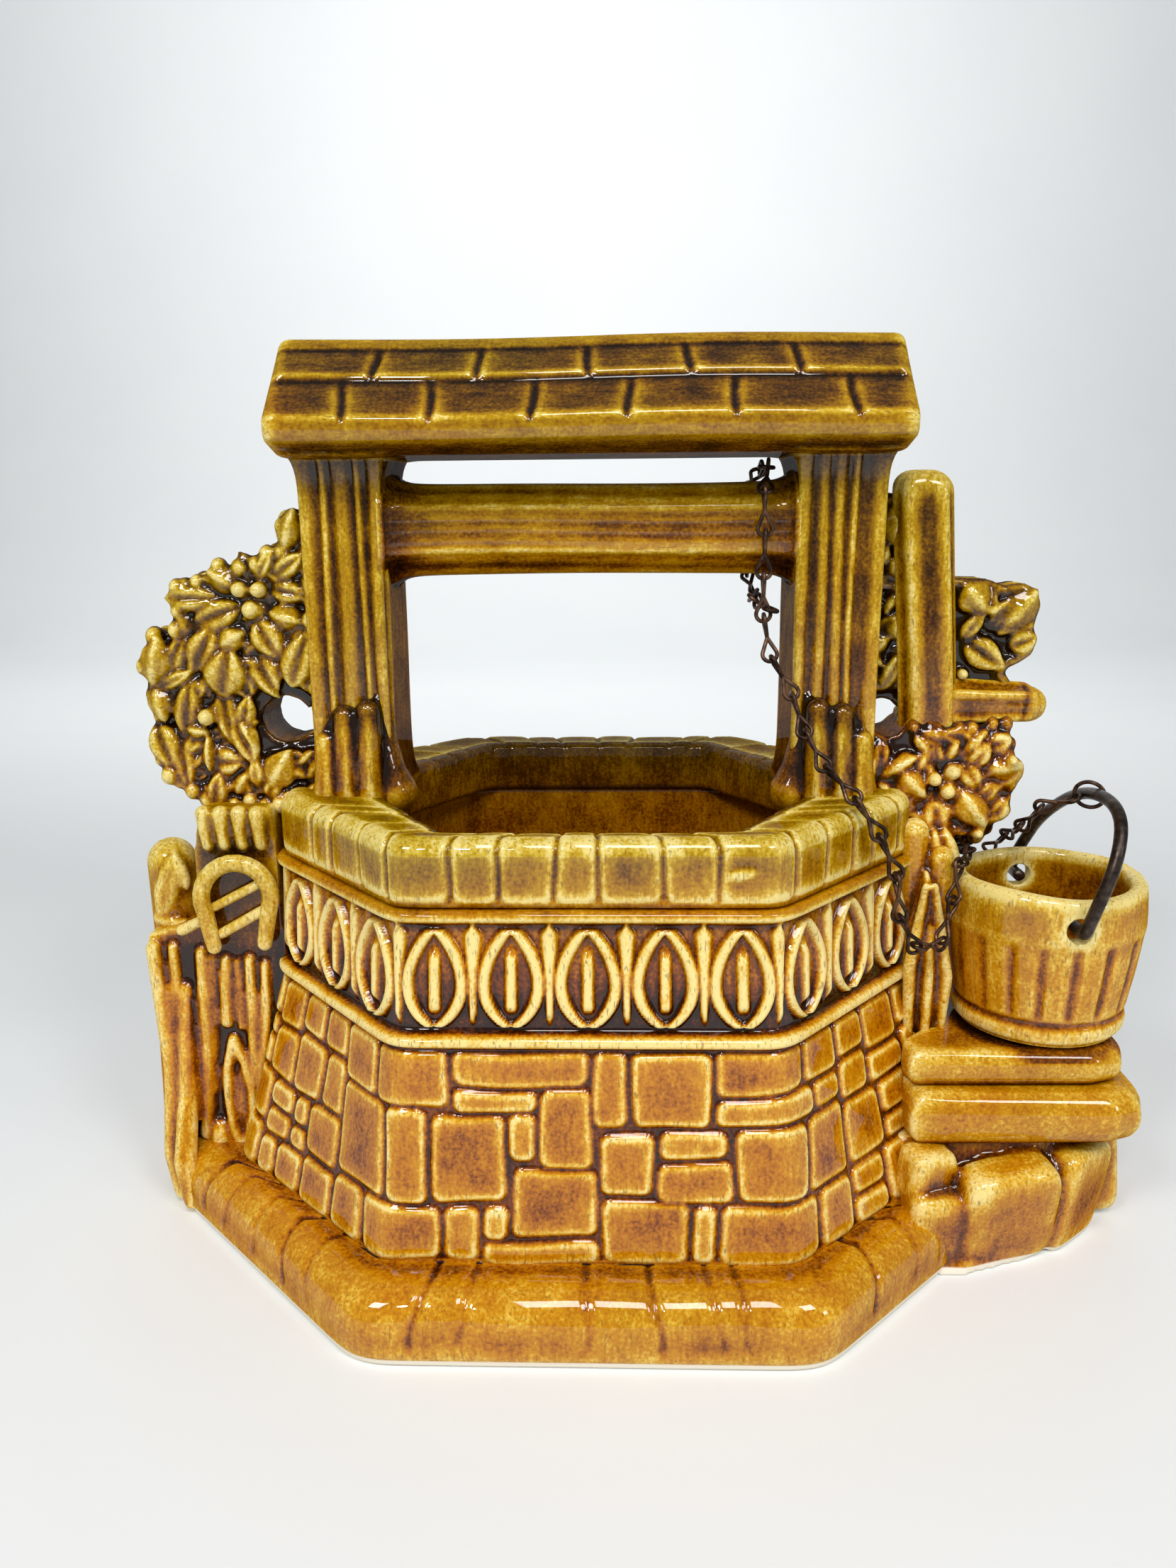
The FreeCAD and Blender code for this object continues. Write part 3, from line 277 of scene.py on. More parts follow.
@dataclass(frozen=True)
class AgedWire:
    """Wire with a dark bronze patina, brighter where it rubs."""

    name: str
    dark: Colour
    bright: Colour
    roughness: float

    def make(self) -> bpy.types.Material:
        """Build the material.

        Returns:
            The finished material.
        """
        board = Board(self.name)
        wear = board.noise(1.4, 2.0)
        stain = board.noise(5.0, 2.0)
        share = (wear * 0.5 + stain * 0.5).step(0.4, 0.66)
        board.finish({"Base Color": board.mix(self.dark, self.bright, share), "Metallic": 0.75,
                      "Roughness": self.roughness + share * -0.12})
        board.bump(board.noise(0.35, 2.0), 0.12, 0.03)
        return board.material


STONE_GLAZE = Glaze("stone_glaze", "amber_glaze", -0.1, 0.55, 48.0, 92.0)
PLINTH_GLAZE = Glaze("plinth_glaze", "amber_glaze", 0.1, 0.1, 0.0, 14.0, -0.27, 0.9, foot=True)
COPING_GLAZE = Glaze("coping_glaze", "amber_glaze", 0.5, 0.95, 74.0, 88.0)
WOOD_GLAZE = Glaze("wood_glaze", "olive_glaze", 0.5, 0.85, 80.0, 150.0, -0.11, 0.85)
BAR_GLAZE = Glaze("bar_glaze", "olive_glaze", 0.3, 0.8, 126.0, 146.0, -0.1, grain=Grain.LENGTHWISE)
ROOF_GLAZE = Glaze("roof_glaze", "olive_glaze", 0.7, 0.9, 150.0, 165.0, -0.17, grain=Grain.LENGTHWISE)
BRACE_GLAZE = Glaze("brace_glaze", "amber_glaze", 0.5, 0.8, 86.0, 106.0, -0.16, 1.3)
RAIL_GLAZE = replace(WOOD_GLAZE, name="rail_glaze", slot="amber_glaze")
LEAF_GLAZE = Glaze("leaf_glaze", "amber_glaze", 0.6, 0.95, 80.0, 112.0, -0.12, 1.2, Grain.EVEN)
FLOWER_GLAZE = replace(LEAF_GLAZE, name="flower_glaze", olive_low=0.25, olive_high=0.6)
STUMP_GLAZE = Glaze("stump_glaze", "amber_glaze", 0.05, 0.9, 40.0, 84.0, -0.04)
BENCH_GLAZE = Glaze("bench_glaze", "amber_glaze", 0.05, 0.3, 0.0, 45.0, -0.09, grain=Grain.EVEN)
ROCK_GLAZE = replace(BENCH_GLAZE, name="rock_glaze", grain=Grain.UPRIGHT, foot=True)
BUCKET_GLAZE = Glaze("bucket_glaze", "amber_glaze", 0.1, 0.5, 50.0, 74.0, -0.04)
CHAIN_WIRE = AgedWire("chain_wire", tone(40, 26, 20), tone(112, 82, 62), 0.46)
BAIL_WIRE = AgedWire("bail_wire", tone(44, 35, 30), tone(92, 78, 68), 0.36)


@lru_cache(maxsize=None)
def finish_of(finish: Union[Glaze, AgedWire]) -> bpy.types.Material:
    """The material of a finish, made once."""
    return finish.make()


# Meshes

def step_up(value: Array, low: float, high: float) -> Array:
    """0 below low, 1 above high, and smooth between."""
    share = np.clip((value - low) / (high - low), 0.0, 1.0)
    return share * share * (3.0 - 2.0 * share)


def step_down(value: Array, low: float, high: float) -> Array:
    """1 below low, 0 above high, and smooth between."""
    return 1.0 - step_up(value, low, high)


def bell(value: Array, width: Union[float, Array], power: int = 2) -> Array:
    """1 where the value is 0, fading out beyond the width; a higher power makes it squarer."""
    return np.exp(-(value / width) ** power)


def wobble(across: Array, up: Array, seed: float) -> Array:
    """A slow, hand-made unevenness from -1 to 1."""
    return (np.sin(0.17 * across + 1.7 * seed) * np.sin(0.21 * up + 2.3 * seed)
            + 0.6 * np.sin(0.29 * across - 0.18 * up + 0.9 * seed)
            + 0.4 * np.sin(0.37 * up + 0.23 * across + 3.1 * seed)) / 2.0


def full_turn(count: int) -> Array:
    """Evenly spaced angles round a circle."""
    return np.arange(count) * 2.0 * math.pi / count


def bend_steps(angles: Iterable[float]) -> List[Flat]:
    """The steps of a bend of radius 1, at angles in degrees: 1 less the cosine, and the sine."""
    return [(1.0 - math.cos(math.radians(angle)), math.sin(math.radians(angle))) for angle in angles]


def grid(x: Array, y: Array, z: Array) -> Array:
    """A grid of points from three arrays that stretch to one shape."""
    return np.stack(np.broadcast_arrays(x, y, z), axis=-1)


def show(made: bpy.types.Object) -> bpy.types.Object:
    """Put an object in the scene."""
    bpy.context.scene.collection.objects.link(made)
    return made


def applied(made: bpy.types.Object) -> bpy.types.Mesh:
    """Take off an object's modifiers and give it the mesh that they make."""
    made_mesh = bpy.data.meshes.new_from_object(made.evaluated_get(bpy.context.evaluated_depsgraph_get()))
    made.modifiers.clear()
    made.data = made_mesh
    return made_mesh


def shade_smooth(mesh: bpy.types.Mesh) -> None:
    """Shade all the mesh's faces smooth."""
    mesh.polygons.foreach_set("use_smooth", [True] * len(mesh.polygons))


def mesh_points(mesh: bpy.types.Mesh) -> Array:
    """The mesh's points, one row each, in millimetres."""
    flat = np.empty(len(mesh.vertices) * 3)
    mesh.vertices.foreach_get("co", flat)
    return flat.reshape(-1, 3) / MM


# How much of a point's own place a round of smoothing keeps, and how much it takes from its neighbours
KEPT, SPREAD = 0.3, 0.7
FAR_ROUNDS = 4


def lay_relief(made: bpy.types.Object, reach: int, gain: float, tint: Optional[Array] = None,
               broad_share: float = 0.35) -> None:
    """Keep on each point how far it stands out of its surroundings, from -1 to 1, as "relief".

    Args:
        made: the mesh object.
        reach: rounds of smoothing that make the near surroundings; the far ones take more.
        gain: relief for each millimetre.
        tint: a number added on each point; the callers put painted shade in it where they darken hollows and
            undersides.
        broad_share: how much the far surroundings count; they add painted shade in deep hollows and painted
            light on broad swells.
    """
    mesh = made.data
    points = mesh_points(mesh)
    count = len(points)
    ends = np.empty(len(mesh.edges) * 2, dtype=np.int64)
    mesh.edges.foreach_get("vertices", ends)
    first, second = ends[0::2], ends[1::2]
    links = np.bincount(first, minlength=count) + np.bincount(second, minlength=count)
    weight = np.maximum(links, 1)
    normals = np.empty(count * 3)
    mesh.vertex_normals.foreach_get("vector", normals)
    normals = normals.reshape(-1, 3)
    soft = points.copy()
    proud = np.zeros(count)
    for turn in range(FAR_ROUNDS * reach):
        for axis in range(3):
            total = np.bincount(first, soft[second, axis], count)
            total = total + np.bincount(second, soft[first, axis], count)
            soft[:, axis] = KEPT * soft[:, axis] + SPREAD * total / weight
        if turn == reach - 1:
            proud = np.einsum("ij,ij->i", points - soft, normals)
    # The far surroundings: painted shade in deep hollows and painted light on broad swells, over the glaze's
    # own pooling and breaking
    broad = np.einsum("ij,ij->i", points - soft, normals)
    total = gain * (proud + broad_share * broad)
    relief = np.where(total > 0.0, np.tanh(1.3 * total), 0.8 * np.tanh(0.8 * total))
    if tint is not None:
        relief = relief + tint
    layer = mesh.attributes.new("relief", "FLOAT", "POINT")
    layer.data.foreach_set("value", np.clip(relief, -1.0, 1.0).astype(np.float32))


def dress(made: bpy.types.Object, finish: Glaze, nodes: Iterable[str]) -> None:
    """Give a piece its glaze, fix it to the pottery and let it stand for its solids.

    Args:
        made: the piece.
        finish: its glaze.
        nodes: the solids that it stands for.
    """
    made.data.materials.clear()
    made.data.materials.append(finish_of(finish))
    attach(made, POTTERY)
    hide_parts(*nodes)
    LOG.info("%s: %d points for %s", made.name, len(made.data.vertices), ", ".join(nodes))


@dataclass
class Skin:
    """A grid of points in millimetres: columns run round the form, and rows along it."""

    points: Array
    rows_join: bool = False

    def normals(self) -> Array:
        """The outward direction at each point."""
        around = np.roll(self.points, -1, axis=1) - np.roll(self.points, 1, axis=1)
        if self.rows_join:
            along = np.roll(self.points, -1, axis=0) - np.roll(self.points, 1, axis=0)
        else:
            along = np.gradient(self.points, axis=0)
        outward = np.cross(around, along)
        length = np.linalg.norm(outward, axis=2, keepdims=True)
        return outward / np.maximum(length, 1e-9)

    def push(self, height: Array) -> None:
        """Move each point out by its height."""
        self.points = self.points + self.normals() * height[:, :, None]

    def build(self, name: str) -> bpy.types.Object:
        """Make the closed mesh, smooth-shaded, with its faces turned outwards.

        Args:
            name: the piece's name.

        Returns:
            The new object.
        """
        rows, columns, _ = self.points.shape
        number = np.arange(rows * columns).reshape(rows, columns)
        low = number if self.rows_join else number[:-1]
        high = np.roll(number, -1, axis=0) if self.rows_join else number[1:]
        quads = np.stack([low, np.roll(low, -1, axis=1), np.roll(high, -1, axis=1), high], axis=-1)
        faces = quads.reshape(-1, 4).tolist()
        if not self.rows_join:
            faces += [number[0][::-1].tolist(), number[-1].tolist()]
        mesh = bpy.data.meshes.new(name)
        mesh.from_pydata((self.points.reshape(-1, 3) * MM).tolist(), [], faces)
        work = bmesh.new()
        work.from_mesh(mesh)
        bmesh.ops.recalc_face_normals(work, faces=work.faces)
        work.to_mesh(mesh)
        work.free()
        shade_smooth(mesh)
        mesh.update()
        return show(bpy.data.objects.new(name, mesh))


@lru_cache(maxsize=None)
def unit_ball(fine: int) -> Pair:
    """Points and triangles of a ball of radius 1."""
    work = bmesh.new()
    bmesh.ops.create_icosphere(work, subdivisions=fine, radius=1.0)
    points = np.array([vertex.co[:] for vertex in work.verts])
    faces = np.array([[vertex.index for vertex in face.verts] for face in work.faces])
    work.free()
    return points, faces


# How square a block of stone is: 2 makes a ball, and more a box
SQUARENESS = 5.0


@dataclass
class Clay:
    """Lumps of clay in millimetres, pressed together and smoothed into one skin."""

    name: str
    voxel: float = 0.6
    points: List[Array] = field(default_factory=list)
    faces: List[List[int]] = field(default_factory=list)
    count: int = 0

    def add(self, points: Array, faces: Iterable[Iterable[int]]) -> None:
        """Add a closed lump."""
        self.faces += [[number + self.count for number in face] for face in faces]
        self.points.append(np.asarray(points, dtype=float))
        self.count += len(points)

    def ball(self, centre: Point, size: Point) -> None:
        """An ellipsoid: its centre and half sizes."""
        points, faces = unit_ball(3)
        self.add(points * np.array(size) + np.array(centre), faces)

    def leaf(self, centre: Point, length: float, width: float, lift: float, turn: float,
             point: float = 0.6, groove: float = 0.0, tilt: float = 0.0) -> None:
        """A leaf or petal that lies against an upright face.

        Args:
            centre: its middle.
            length: from tail to tip.
            width: across.
            lift: how far it stands out on each side.
            turn: its direction in degrees above +X.
            point: how sharp its ends are.
            groove: how deep its middle line is, as a share of its lift; a ridge where below 0.
            tilt: how much further out its tip lies than its middle.
        """
        points, faces = unit_ball(4)
        x, y, z = points.T
        angle = math.radians(turn)
        taper = np.maximum(1.0 - x * x, 0.0) ** (point * 0.5) * (1.0 - 0.25 * x)
        dip = 1.0 - groove * bell(z, 0.3)
        outward = math.copysign(tilt, centre[1])
        along, across = 0.5 * length * x, 0.5 * width * z * taper
        shaped = np.column_stack([centre[0] + along * math.cos(angle) - across * math.sin(angle),
                                  centre[1] + lift * y * dip + outward * x,
                                  centre[2] + along * math.sin(angle) + across * math.cos(angle)])
        self.add(shaped, faces)

    def rod(self, places: Sequence[Point], radii: Sequence[float], flat: float = 1.0) -> None:
        """A round bar through places, with rounded ends.

        Args:
            places: points along its middle.
            radii: its radius at each point.
            flat: its thickness along Y, as a share of its width.
        """
        points, faces = unit_ball(3)
        squash = np.array([1.0, flat, 1.0])
        for place, radius in zip(places, radii):
            self.add(points * radius * squash + np.array(place), faces)
        around = full_turn(20)
        for (start, first), (end, second) in zip(zip(places, radii), zip(places[1:], radii[1:])):
            a, b = np.array(start), np.array(end)
            along = (b - a) / max(float(np.linalg.norm(b - a)), 1e-6)
            side = np.cross(along, [0.0, 1.0, 0.0] if abs(along[1]) < 0.9 else [1.0, 0.0, 0.0])
            side = side / np.linalg.norm(side)
            other = np.cross(along, side)
            ring = np.cos(around)[:, None] * side + np.sin(around)[:, None] * other
            self.prism((a + ring * first * squash).tolist(), (b + ring * second * squash).tolist())

    def prism(self, low: Sequence[Sequence[float]], high: Sequence[Sequence[float]]) -> None:
        """A solid between two outlines with the same number of corners."""
        count = len(low)
        sides = [[index, (index + 1) % count, count + (index + 1) % count, count + index]
                 for index in range(count)]
        lids = [list(range(count))[::-1], list(range(count, 2 * count))]
        self.add(np.array(list(low) + list(high)), sides + lids)

    def upright(self, outline: Sequence[Flat], front: float, back: float) -> None:
        """An x, z outline made solid from front to back."""
        self.prism([(x, front, z) for x, z in outline], [(x, back, z) for x, z in outline])

    def block(self, centre: Point, size: Point, turn: Point) -> None:
        """A stone-like block with soft edges: its centre, half sizes and turn in degrees."""
        points, faces = unit_ball(5)
        length = (np.abs(points) ** SQUARENESS).sum(axis=1) ** (1.0 / SQUARENESS)
        shaped = points / length[:, None] * np.array(size)
        angles = [math.radians(part) for part in turn]
        spin = Matrix.Rotation(angles[2], 3, "Z") @ Matrix.Rotation(angles[1], 3, "Y")
        spin = np.array(spin @ Matrix.Rotation(angles[0], 3, "X"))
        self.add(shaped @ spin.T + np.array(centre), faces)

    def cast(self, soften: int, reach: int, gain: float,
             tint: Optional[Callable[[Array], Array]] = None) -> bpy.types.Object:
        """Press the lumps together.

        Args:
            soften: rounds of smoothing.
            reach: rounds of smoothing that make the surroundings for the relief.
            gain: relief for each millimetre.
            tint: gives a number to add to the relief from the points.

        Returns:
            The finished object, with its relief.
        """
        mesh = bpy.data.meshes.new(self.name)
        mesh.from_pydata(np.vstack(self.points).tolist(), [], self.faces)
        made = show(bpy.data.objects.new(self.name, mesh))
        remesh = made.modifiers.new("press", "REMESH")
        remesh.mode = "VOXEL"
        remesh.voxel_size = self.voxel
        remesh.use_smooth_shade = True
        smooth = made.modifiers.new("soften", "SMOOTH")
        smooth.factor = 0.5
        smooth.iterations = soften
        shaped = applied(made)
        shaped.name = self.name
        shaped.transform(Matrix.Scale(MM, 4))
        points = mesh_points(shaped)
        points[:, 2] = np.maximum(points[:, 2], 0.0)
        shaped.vertices.foreach_set("co", (points * MM).ravel())
        shaped.update()
        lay_relief(made, reach, gain, tint(points) if tint else None)
        return made


# The well: plinth, wall with its band, and coping, all on eight-sided plans

# Ratio of an eight-sided plan's corner shift along a face to the face's own shift
CORNER_SHIFT = 0.414


@dataclass(frozen=True)
class Plan:
    """An eight-sided plan: half sizes of its front edge, depth, width and side edge."""

    front: float
    depth: float
    width: float
    side: float

    def grown(self, shift: float) -> "Plan":
        """The plan with every face moved out."""
        corner = CORNER_SHIFT * shift
        return Plan(self.front + corner, self.depth + shift, self.width + shift, self.side + corner)

    def towards(self, other: "Plan", share: float) -> "Plan":
        """A plan between this one and another."""
        return Plan(*(a + (b - a) * share for a, b in zip(astuple(self), astuple(other))))

    def corners(self) -> Array:
        """The corners, from the front's left end and round by the right."""
        right = [(self.front, -self.depth), (self.width, -self.side), (self.width, self.side),
                 (self.front, self.depth)]
        left = [(-x, y) for x, y in reversed(right)]
        return np.array(left[-1:] + right + left[:-1])

    def lengths(self) -> Array:
        """The length of each side."""
        corners = self.corners()
        return np.linalg.norm(np.roll(corners, -1, axis=0) - corners, axis=1)


# A row of the well: its plan, its height and the rounding of its corners
Row = Tuple[Plan, float, float]
FOOT = Plan(36.3, 53.4, 72.0, 20.0)
NECK = Plan(33.0, 48.0, 62.0, 14.0)
WALL_MIDDLE = FOOT.towards(NECK, 0.5)
COPING = Plan(32.2, 45.8, 61.0, 13.0)
MOUTH = Plan(25.0, 38.0, 40.0, 13.5)
PLINTH = Plan(39.5, 64.0, 90.0, 13.5)
WALL_THICK = 5.5
# About how far the points of a row are apart
STEP = 0.42
# Points along each side: front, right front, right, right back, back, left back, left, left front
SIDE_STEPS = (176, 120, 52, 64, 90, 64, 52, 120)
# A column on the front, along which the coping's section is measured
FRONT_COLUMN = 60


@dataclass(frozen=True)
class Ring:
    """Where each column of the well stands: its side, its share along it and its place in millimetres."""

    side: Array
    share: Array

    @classmethod
    def make(cls) -> "Ring":
        """Spread the columns along the eight sides."""
        sides = np.concatenate([np.full(steps, index) for index, steps in enumerate(SIDE_STEPS)])
        shares = np.concatenate([(np.arange(steps) + 0.5) / steps for steps in SIDE_STEPS])
        return cls(sides, shares)

    def line(self, plan: Plan, height: float, round_by: float) -> Array:
        """One row of points round a plan.

        Args:
            plan: the eight-sided plan.
            height: its height.
            round_by: how far its corners are rounded, in millimetres.

        Returns:
            The row of points.
        """
        corners = plan.corners()
        start, end = corners[self.side], corners[(self.side + 1) % 8]
        flat = start + (end - start) * self.share[:, None]
        flat = self.rounded(flat, round_by)
        return np.column_stack([flat, np.full(len(flat), height)])

    def skin(self, rows: Iterable[Row], rows_join: bool = False) -> Skin:
        """The skin over rows of plan, height and rounding."""
        return Skin(np.array([self.line(*row) for row in rows]), rows_join)

    def rounded(self, flat: Array, round_by: float) -> Array:
        """Round the corners of a line by spreading each point over its neighbours."""
        if round_by <= 0.0:
            return flat
        step = np.linalg.norm(np.roll(flat, -1, axis=0) - flat, axis=1)
        turns = max(1, int((round_by / STEP) ** 2))
        share = np.clip(step / STEP, 1.0, 3.0)[:, None] ** -2.0
        for _ in range(turns):
            middle = 0.5 * (np.roll(flat, 1, axis=0) + np.roll(flat, -1, axis=0))
            flat = flat + 0.5 * share * (middle - flat)
        return flat

    def run(self, plan: Plan) -> Array:
        """Millimetres round a plan from its front's middle, below 0 on the left."""
        lengths = plan.lengths()
        starts = np.concatenate([[0.0], np.cumsum(lengths)[:-1]])
        total = float(lengths.sum())
        place = starts[self.side] + self.share * lengths[self.side] - 0.5 * lengths[0]
        return np.where(place > 0.5 * total, place - total, place)

    def along(self, plan: Plan) -> Array:
        """Millimetres from the middle of each column's side."""
        return (self.share - 0.5) * plan.lengths()[self.side]


Stone = Tuple[float, float, float, float]

# Stones of the front: left, low, right and high edge in millimetres
FRONT_STONES: Tuple[Stone, ...] = (
    (-35.4, 40.5, -24.4, 50.1), (-22.8, 44.2, -0.5, 49.7), (-23.2, 39.7, -9.3, 42.9),
    (-8.1, 29.8, 0.3, 43.3), (1.0, 37.4, 6.3, 49.9), (7.7, 37.2, 20.6, 49.6), (21.7, 42.9, 35.4, 50.2),
    (22.1, 37.6, 35.4, 41.7), (-36.0, 23.7, -28.3, 39.6), (-26.9, 23.9, -14.8, 38.6),
    (-13.5, 30.9, -9.2, 38.8), (-13.0, 18.0, 1.2, 29.0), (2.1, 25.3, 10.7, 35.5),
    (12.1, 31.8, 23.9, 35.9), (12.1, 24.0, 24.5, 30.5), (25.8, 24.2, 36.4, 36.3),
    (-37.0, 13.4, -26.3, 22.5), (-25.1, 13.4, -19.3, 22.3), (-17.9, 17.4, -14.2, 22.3),
    (-17.8, 13.0, 1.2, 16.4), (2.5, 13.2, 16.9, 23.7), (18.2, 13.4, 21.4, 22.8), (22.8, 13.2, 37.0, 22.9))

# The width of the joints between stones
JOINT = 1.3
# The front's stones turn its corners where they reach this far from its middle
TURN_FROM = 34.5
# The corner stones end here on the slanting sides
TURN_END = 50.0
# Bounds of the largest stone's width, and of the place where a larger one is broken
STONE_LIMIT = (10.0, 17.0)
BREAK_AT = (0.36, 0.64)
# How much each stone reaches into the joints
STONE_REACH = 0.3


def split_stones(box: Stone, rng: np.random.Generator) -> List[Stone]:
    """Break a face into stones of uneven sizes.

    Args:
        box: left, low, right and high edge.
        rng: the source of chance.

    Returns:
        The stones.
    """
    left, low, right, high = box
    wide, tall = right - left, high - low
    limit = rng.uniform(*STONE_LIMIT)
    if wide <= limit and tall <= 0.8 * limit:
        return [box]
    cut = rng.uniform(*BREAK_AT)
    if wide > 1.25 * tall or tall <= 0.8 * limit:
        middle = left + cut * wide
        parts = ((left, low, middle - JOINT / 2, high), (middle + JOINT / 2, low, right, high))
    else:
        middle = low + cut * tall
        parts = ((left, low, right, middle - JOINT / 2), (left, middle + JOINT / 2, right, high))
    return [stone for part in parts for stone in split_stones(part, rng)]


def stone_height(across: Array, up: Array, stones: Sequence[Stone], round_by: float = 1.5,
                 rise: float = 0.9) -> Pair:
    """How far soft-edged stones stand out of their joints.

    Args:
        across: place along the face.
        up: height on the face.
        stones: the stones.
        round_by: rounding of their corners.
        rise: depth of the joints.

    Returns:
        The height over the joints' bottom, and how far inside a stone each point lies.
    """
    shown = across + 0.5 * wobble(up * 1.1, across, 1.0)
    raised = up + 0.5 * wobble(across, up, 2.0)
    best = np.zeros_like(across)
    deepest = np.full(across.shape, -1.0)
    for number, (left, low, right, high) in enumerate(stones):
        half_wide, half_tall = 0.5 * (right - left), 0.5 * (high - low)
        corner = min(round_by, 0.7 * half_wide, 0.7 * half_tall)
        dx = np.abs(shown - 0.5 * (left + right)) - (half_wide - corner)
        dz = np.abs(raised - 0.5 * (low + high)) - (half_tall - corner)
        outside = np.hypot(np.maximum(dx, 0.0), np.maximum(dz, 0.0)) + np.minimum(np.maximum(dx, dz), 0.0)
        inside = corner - outside + STONE_REACH
        top = rise * (0.92 + 0.16 * math.sin(2.4 * number))
        best = np.maximum(best, top * step_up(inside, -0.45, 0.75) + 0.1 * step_up(inside, 0.5, 4.0))
        deepest = np.maximum(deepest, inside)
    return best, deepest


def stone_shade(inside: Array) -> Array:
    """Brown joints, cream edges and a darker middle, from how far inside a stone a point lies."""
    return (0.26 * bell(inside - 0.8, 0.5) - 0.16 * step_up(inside, 1.6, 4.0)
            - 0.3 * step_down(inside, -0.4, 0.2))


@dataclass
class Well:
    """The eight-sided well: plinth, stone wall with its ornamented band, and coping."""

    plinth_height: float = 13.0
    plinth_round: float = 6.5
    floor: float = 6.0
    wall_top: float = 50.5
    wall_round: float = 3.4
    band_low: float = 53.3
    band_high: float = 72.4
    leaf_pitch: float = 13.2
    coping_low: float = 75.2
    coping_high: float = 86.7
    coping_round: float = 2.6
    row_step: float = 0.42
    coping_step: float = 0.55
    seed: int = 7
    # How far in the plinth's foot lies at each height
    foot_rows: Tuple[Flat, ...] = (
        (0.25, 0.7), (0.7, 0.6), (1.15, 0.55), (1.5, 0.3), (2.1, 0.05), (3.0, 0.0), (4.0, 0.0),
        (5.0, 0.0), (6.0, 0.0))
    plinth_joints: Tuple[float, ...] = (-29.3, -21.6, -0.5, 11.7, 22.2, 26.8)
    coping_joints: Tuple[float, ...] = (-22.9, -14.9, -5.5, 1.7, 12.8, 21.8)
    # A mark in the coping's front: its x and z
    scar: Flat = (25.6, 81.0)
    ring: Ring = field(default_factory=Ring.make)

    def build(self) -> None:
        """Make the three pieces."""
        self.build_plinth()
        self.build_wall()
        self.build_coping()

    def build_plinth(self) -> None:
        """The broad foot of paving blocks with a rounded shoulder."""
        bend = self.plinth_round
        rows: List[Row] = [(PLINTH.grown(-30.0), 0.0, 0.0), (PLINTH.grown(-1.2), 0.0, 5.0)]
        rows += [(PLINTH.grown(-inward), height, 5.0) for height, inward in self.foot_rows]
        for inward, rise in bend_steps(range(8, 91, 8)):
            rows.append((PLINTH.grown(-bend * inward), self.plinth_height - bend * (1.0 - rise), 5.0))
        outer = PLINTH.grown(-bend)
        for step in range(1, 11):
            rows.append((outer.towards(FOOT.grown(-1.5), step / 10), self.plinth_height - 0.03 * step, 4.5))
        inner = FOOT.grown(-WALL_THICK)
        basin = ((1.0, self.plinth_height, 3.0), (0.5, self.floor + 1.5, 4.0), (-1.0, self.floor + 0.3, 4.0),
                 (-8.0, self.floor, 4.0), (-26.0, self.floor, 4.0))
        rows += [(inner.grown(shift), height, by) for shift, height, by in basin]
        skin = self.ring.skin(rows)
        along = self.ring.along(PLINTH)
        height = skin.points[:, :, 2]
        outside = np.arange(len(rows)) < len(rows) - len(basin)
        top = step_up(height, 2.0, 5.0) * np.where(outside, 1.0, 0.0)[:, None]
        relief = 0.22 * wobble(np.cumsum(np.ones_like(along))[None, :] * 0.35, height * 2.0, 5.0)
        for side in range(8):
            joints = self.plinth_joints if side == 0 else self.side_joints(side, 40.0)
            for number, joint in enumerate(joints):
                drift = 0.7 * np.sin(0.35 * height + number)
                near = np.abs(along[None, :] - joint + drift) + 50.0 * (self.ring.side != side)[None, :]
                depth = 0.3 if number % 3 else 0.55
                relief = relief - depth * bell(near, 0.7)
        skin.push(relief * top)
        made = skin.build("well_plinth")
        tint = np.zeros(height.shape)
        # Painted shade inside the well's basin, and on the plinth's top by the wall's foot, where glaze
        # pooling darkens it too
        tint[-len(basin):] = -1.1
        tint[-len(basin) - 2:-len(basin)] = -0.8
        tint[-len(basin) - 3] = -0.4
        lay_relief(made, 14, 1.3, tint.ravel())
        dress(made, PLINTH_GLAZE, ("plinth",))

    def side_joints(self, side: int, length: float) -> List[float]:
        """Uneven joints along a side other than the front."""
        rng = np.random.default_rng(self.seed + side)
        count = max(2, int(length / 9.0))
        edges = np.linspace(-length / 2, length / 2, count + 1)
        return list(edges + rng.uniform(-1.8, 1.8, count + 1))

    def wall_rows(self) -> Tuple[List[Row], List[Row]]:
        """The wall's outer rows from foot to coping, and its inner rows back down."""
        outer: List[Row] = []
        low, high = self.plinth_height - 0.8, self.coping_low + 0.4
        for height in np.arange(low, high, self.row_step):
            if height < self.wall_top:
                share = (height - self.plinth_height) / (self.wall_top - self.plinth_height)
                plan = FOOT.towards(NECK, share)
            else:
                share = (height - self.wall_top) / (self.coping_low - self.wall_top)
                plan = NECK.towards(COPING, min(1.0, share))
            outer.append((plan, float(height), self.wall_round))
        top_inner, neck_inner, foot_inner = (plan.grown(-WALL_THICK) for plan in (COPING, NECK, FOOT))
        inner = [
            (COPING.grown(-2.5), high), (top_inner, high), (top_inner.grown(-0.3), high - 2.0),
            (top_inner.towards(neck_inner, 0.5), 63.0), (neck_inner, self.wall_top),
            (neck_inner.towards(foot_inner, 0.33), 38.0), (neck_inner.towards(foot_inner, 0.66), 25.5),
            (foot_inner, self.plinth_height - 0.8)]
        return outer, [(plan, height, self.wall_round) for plan, height in inner]

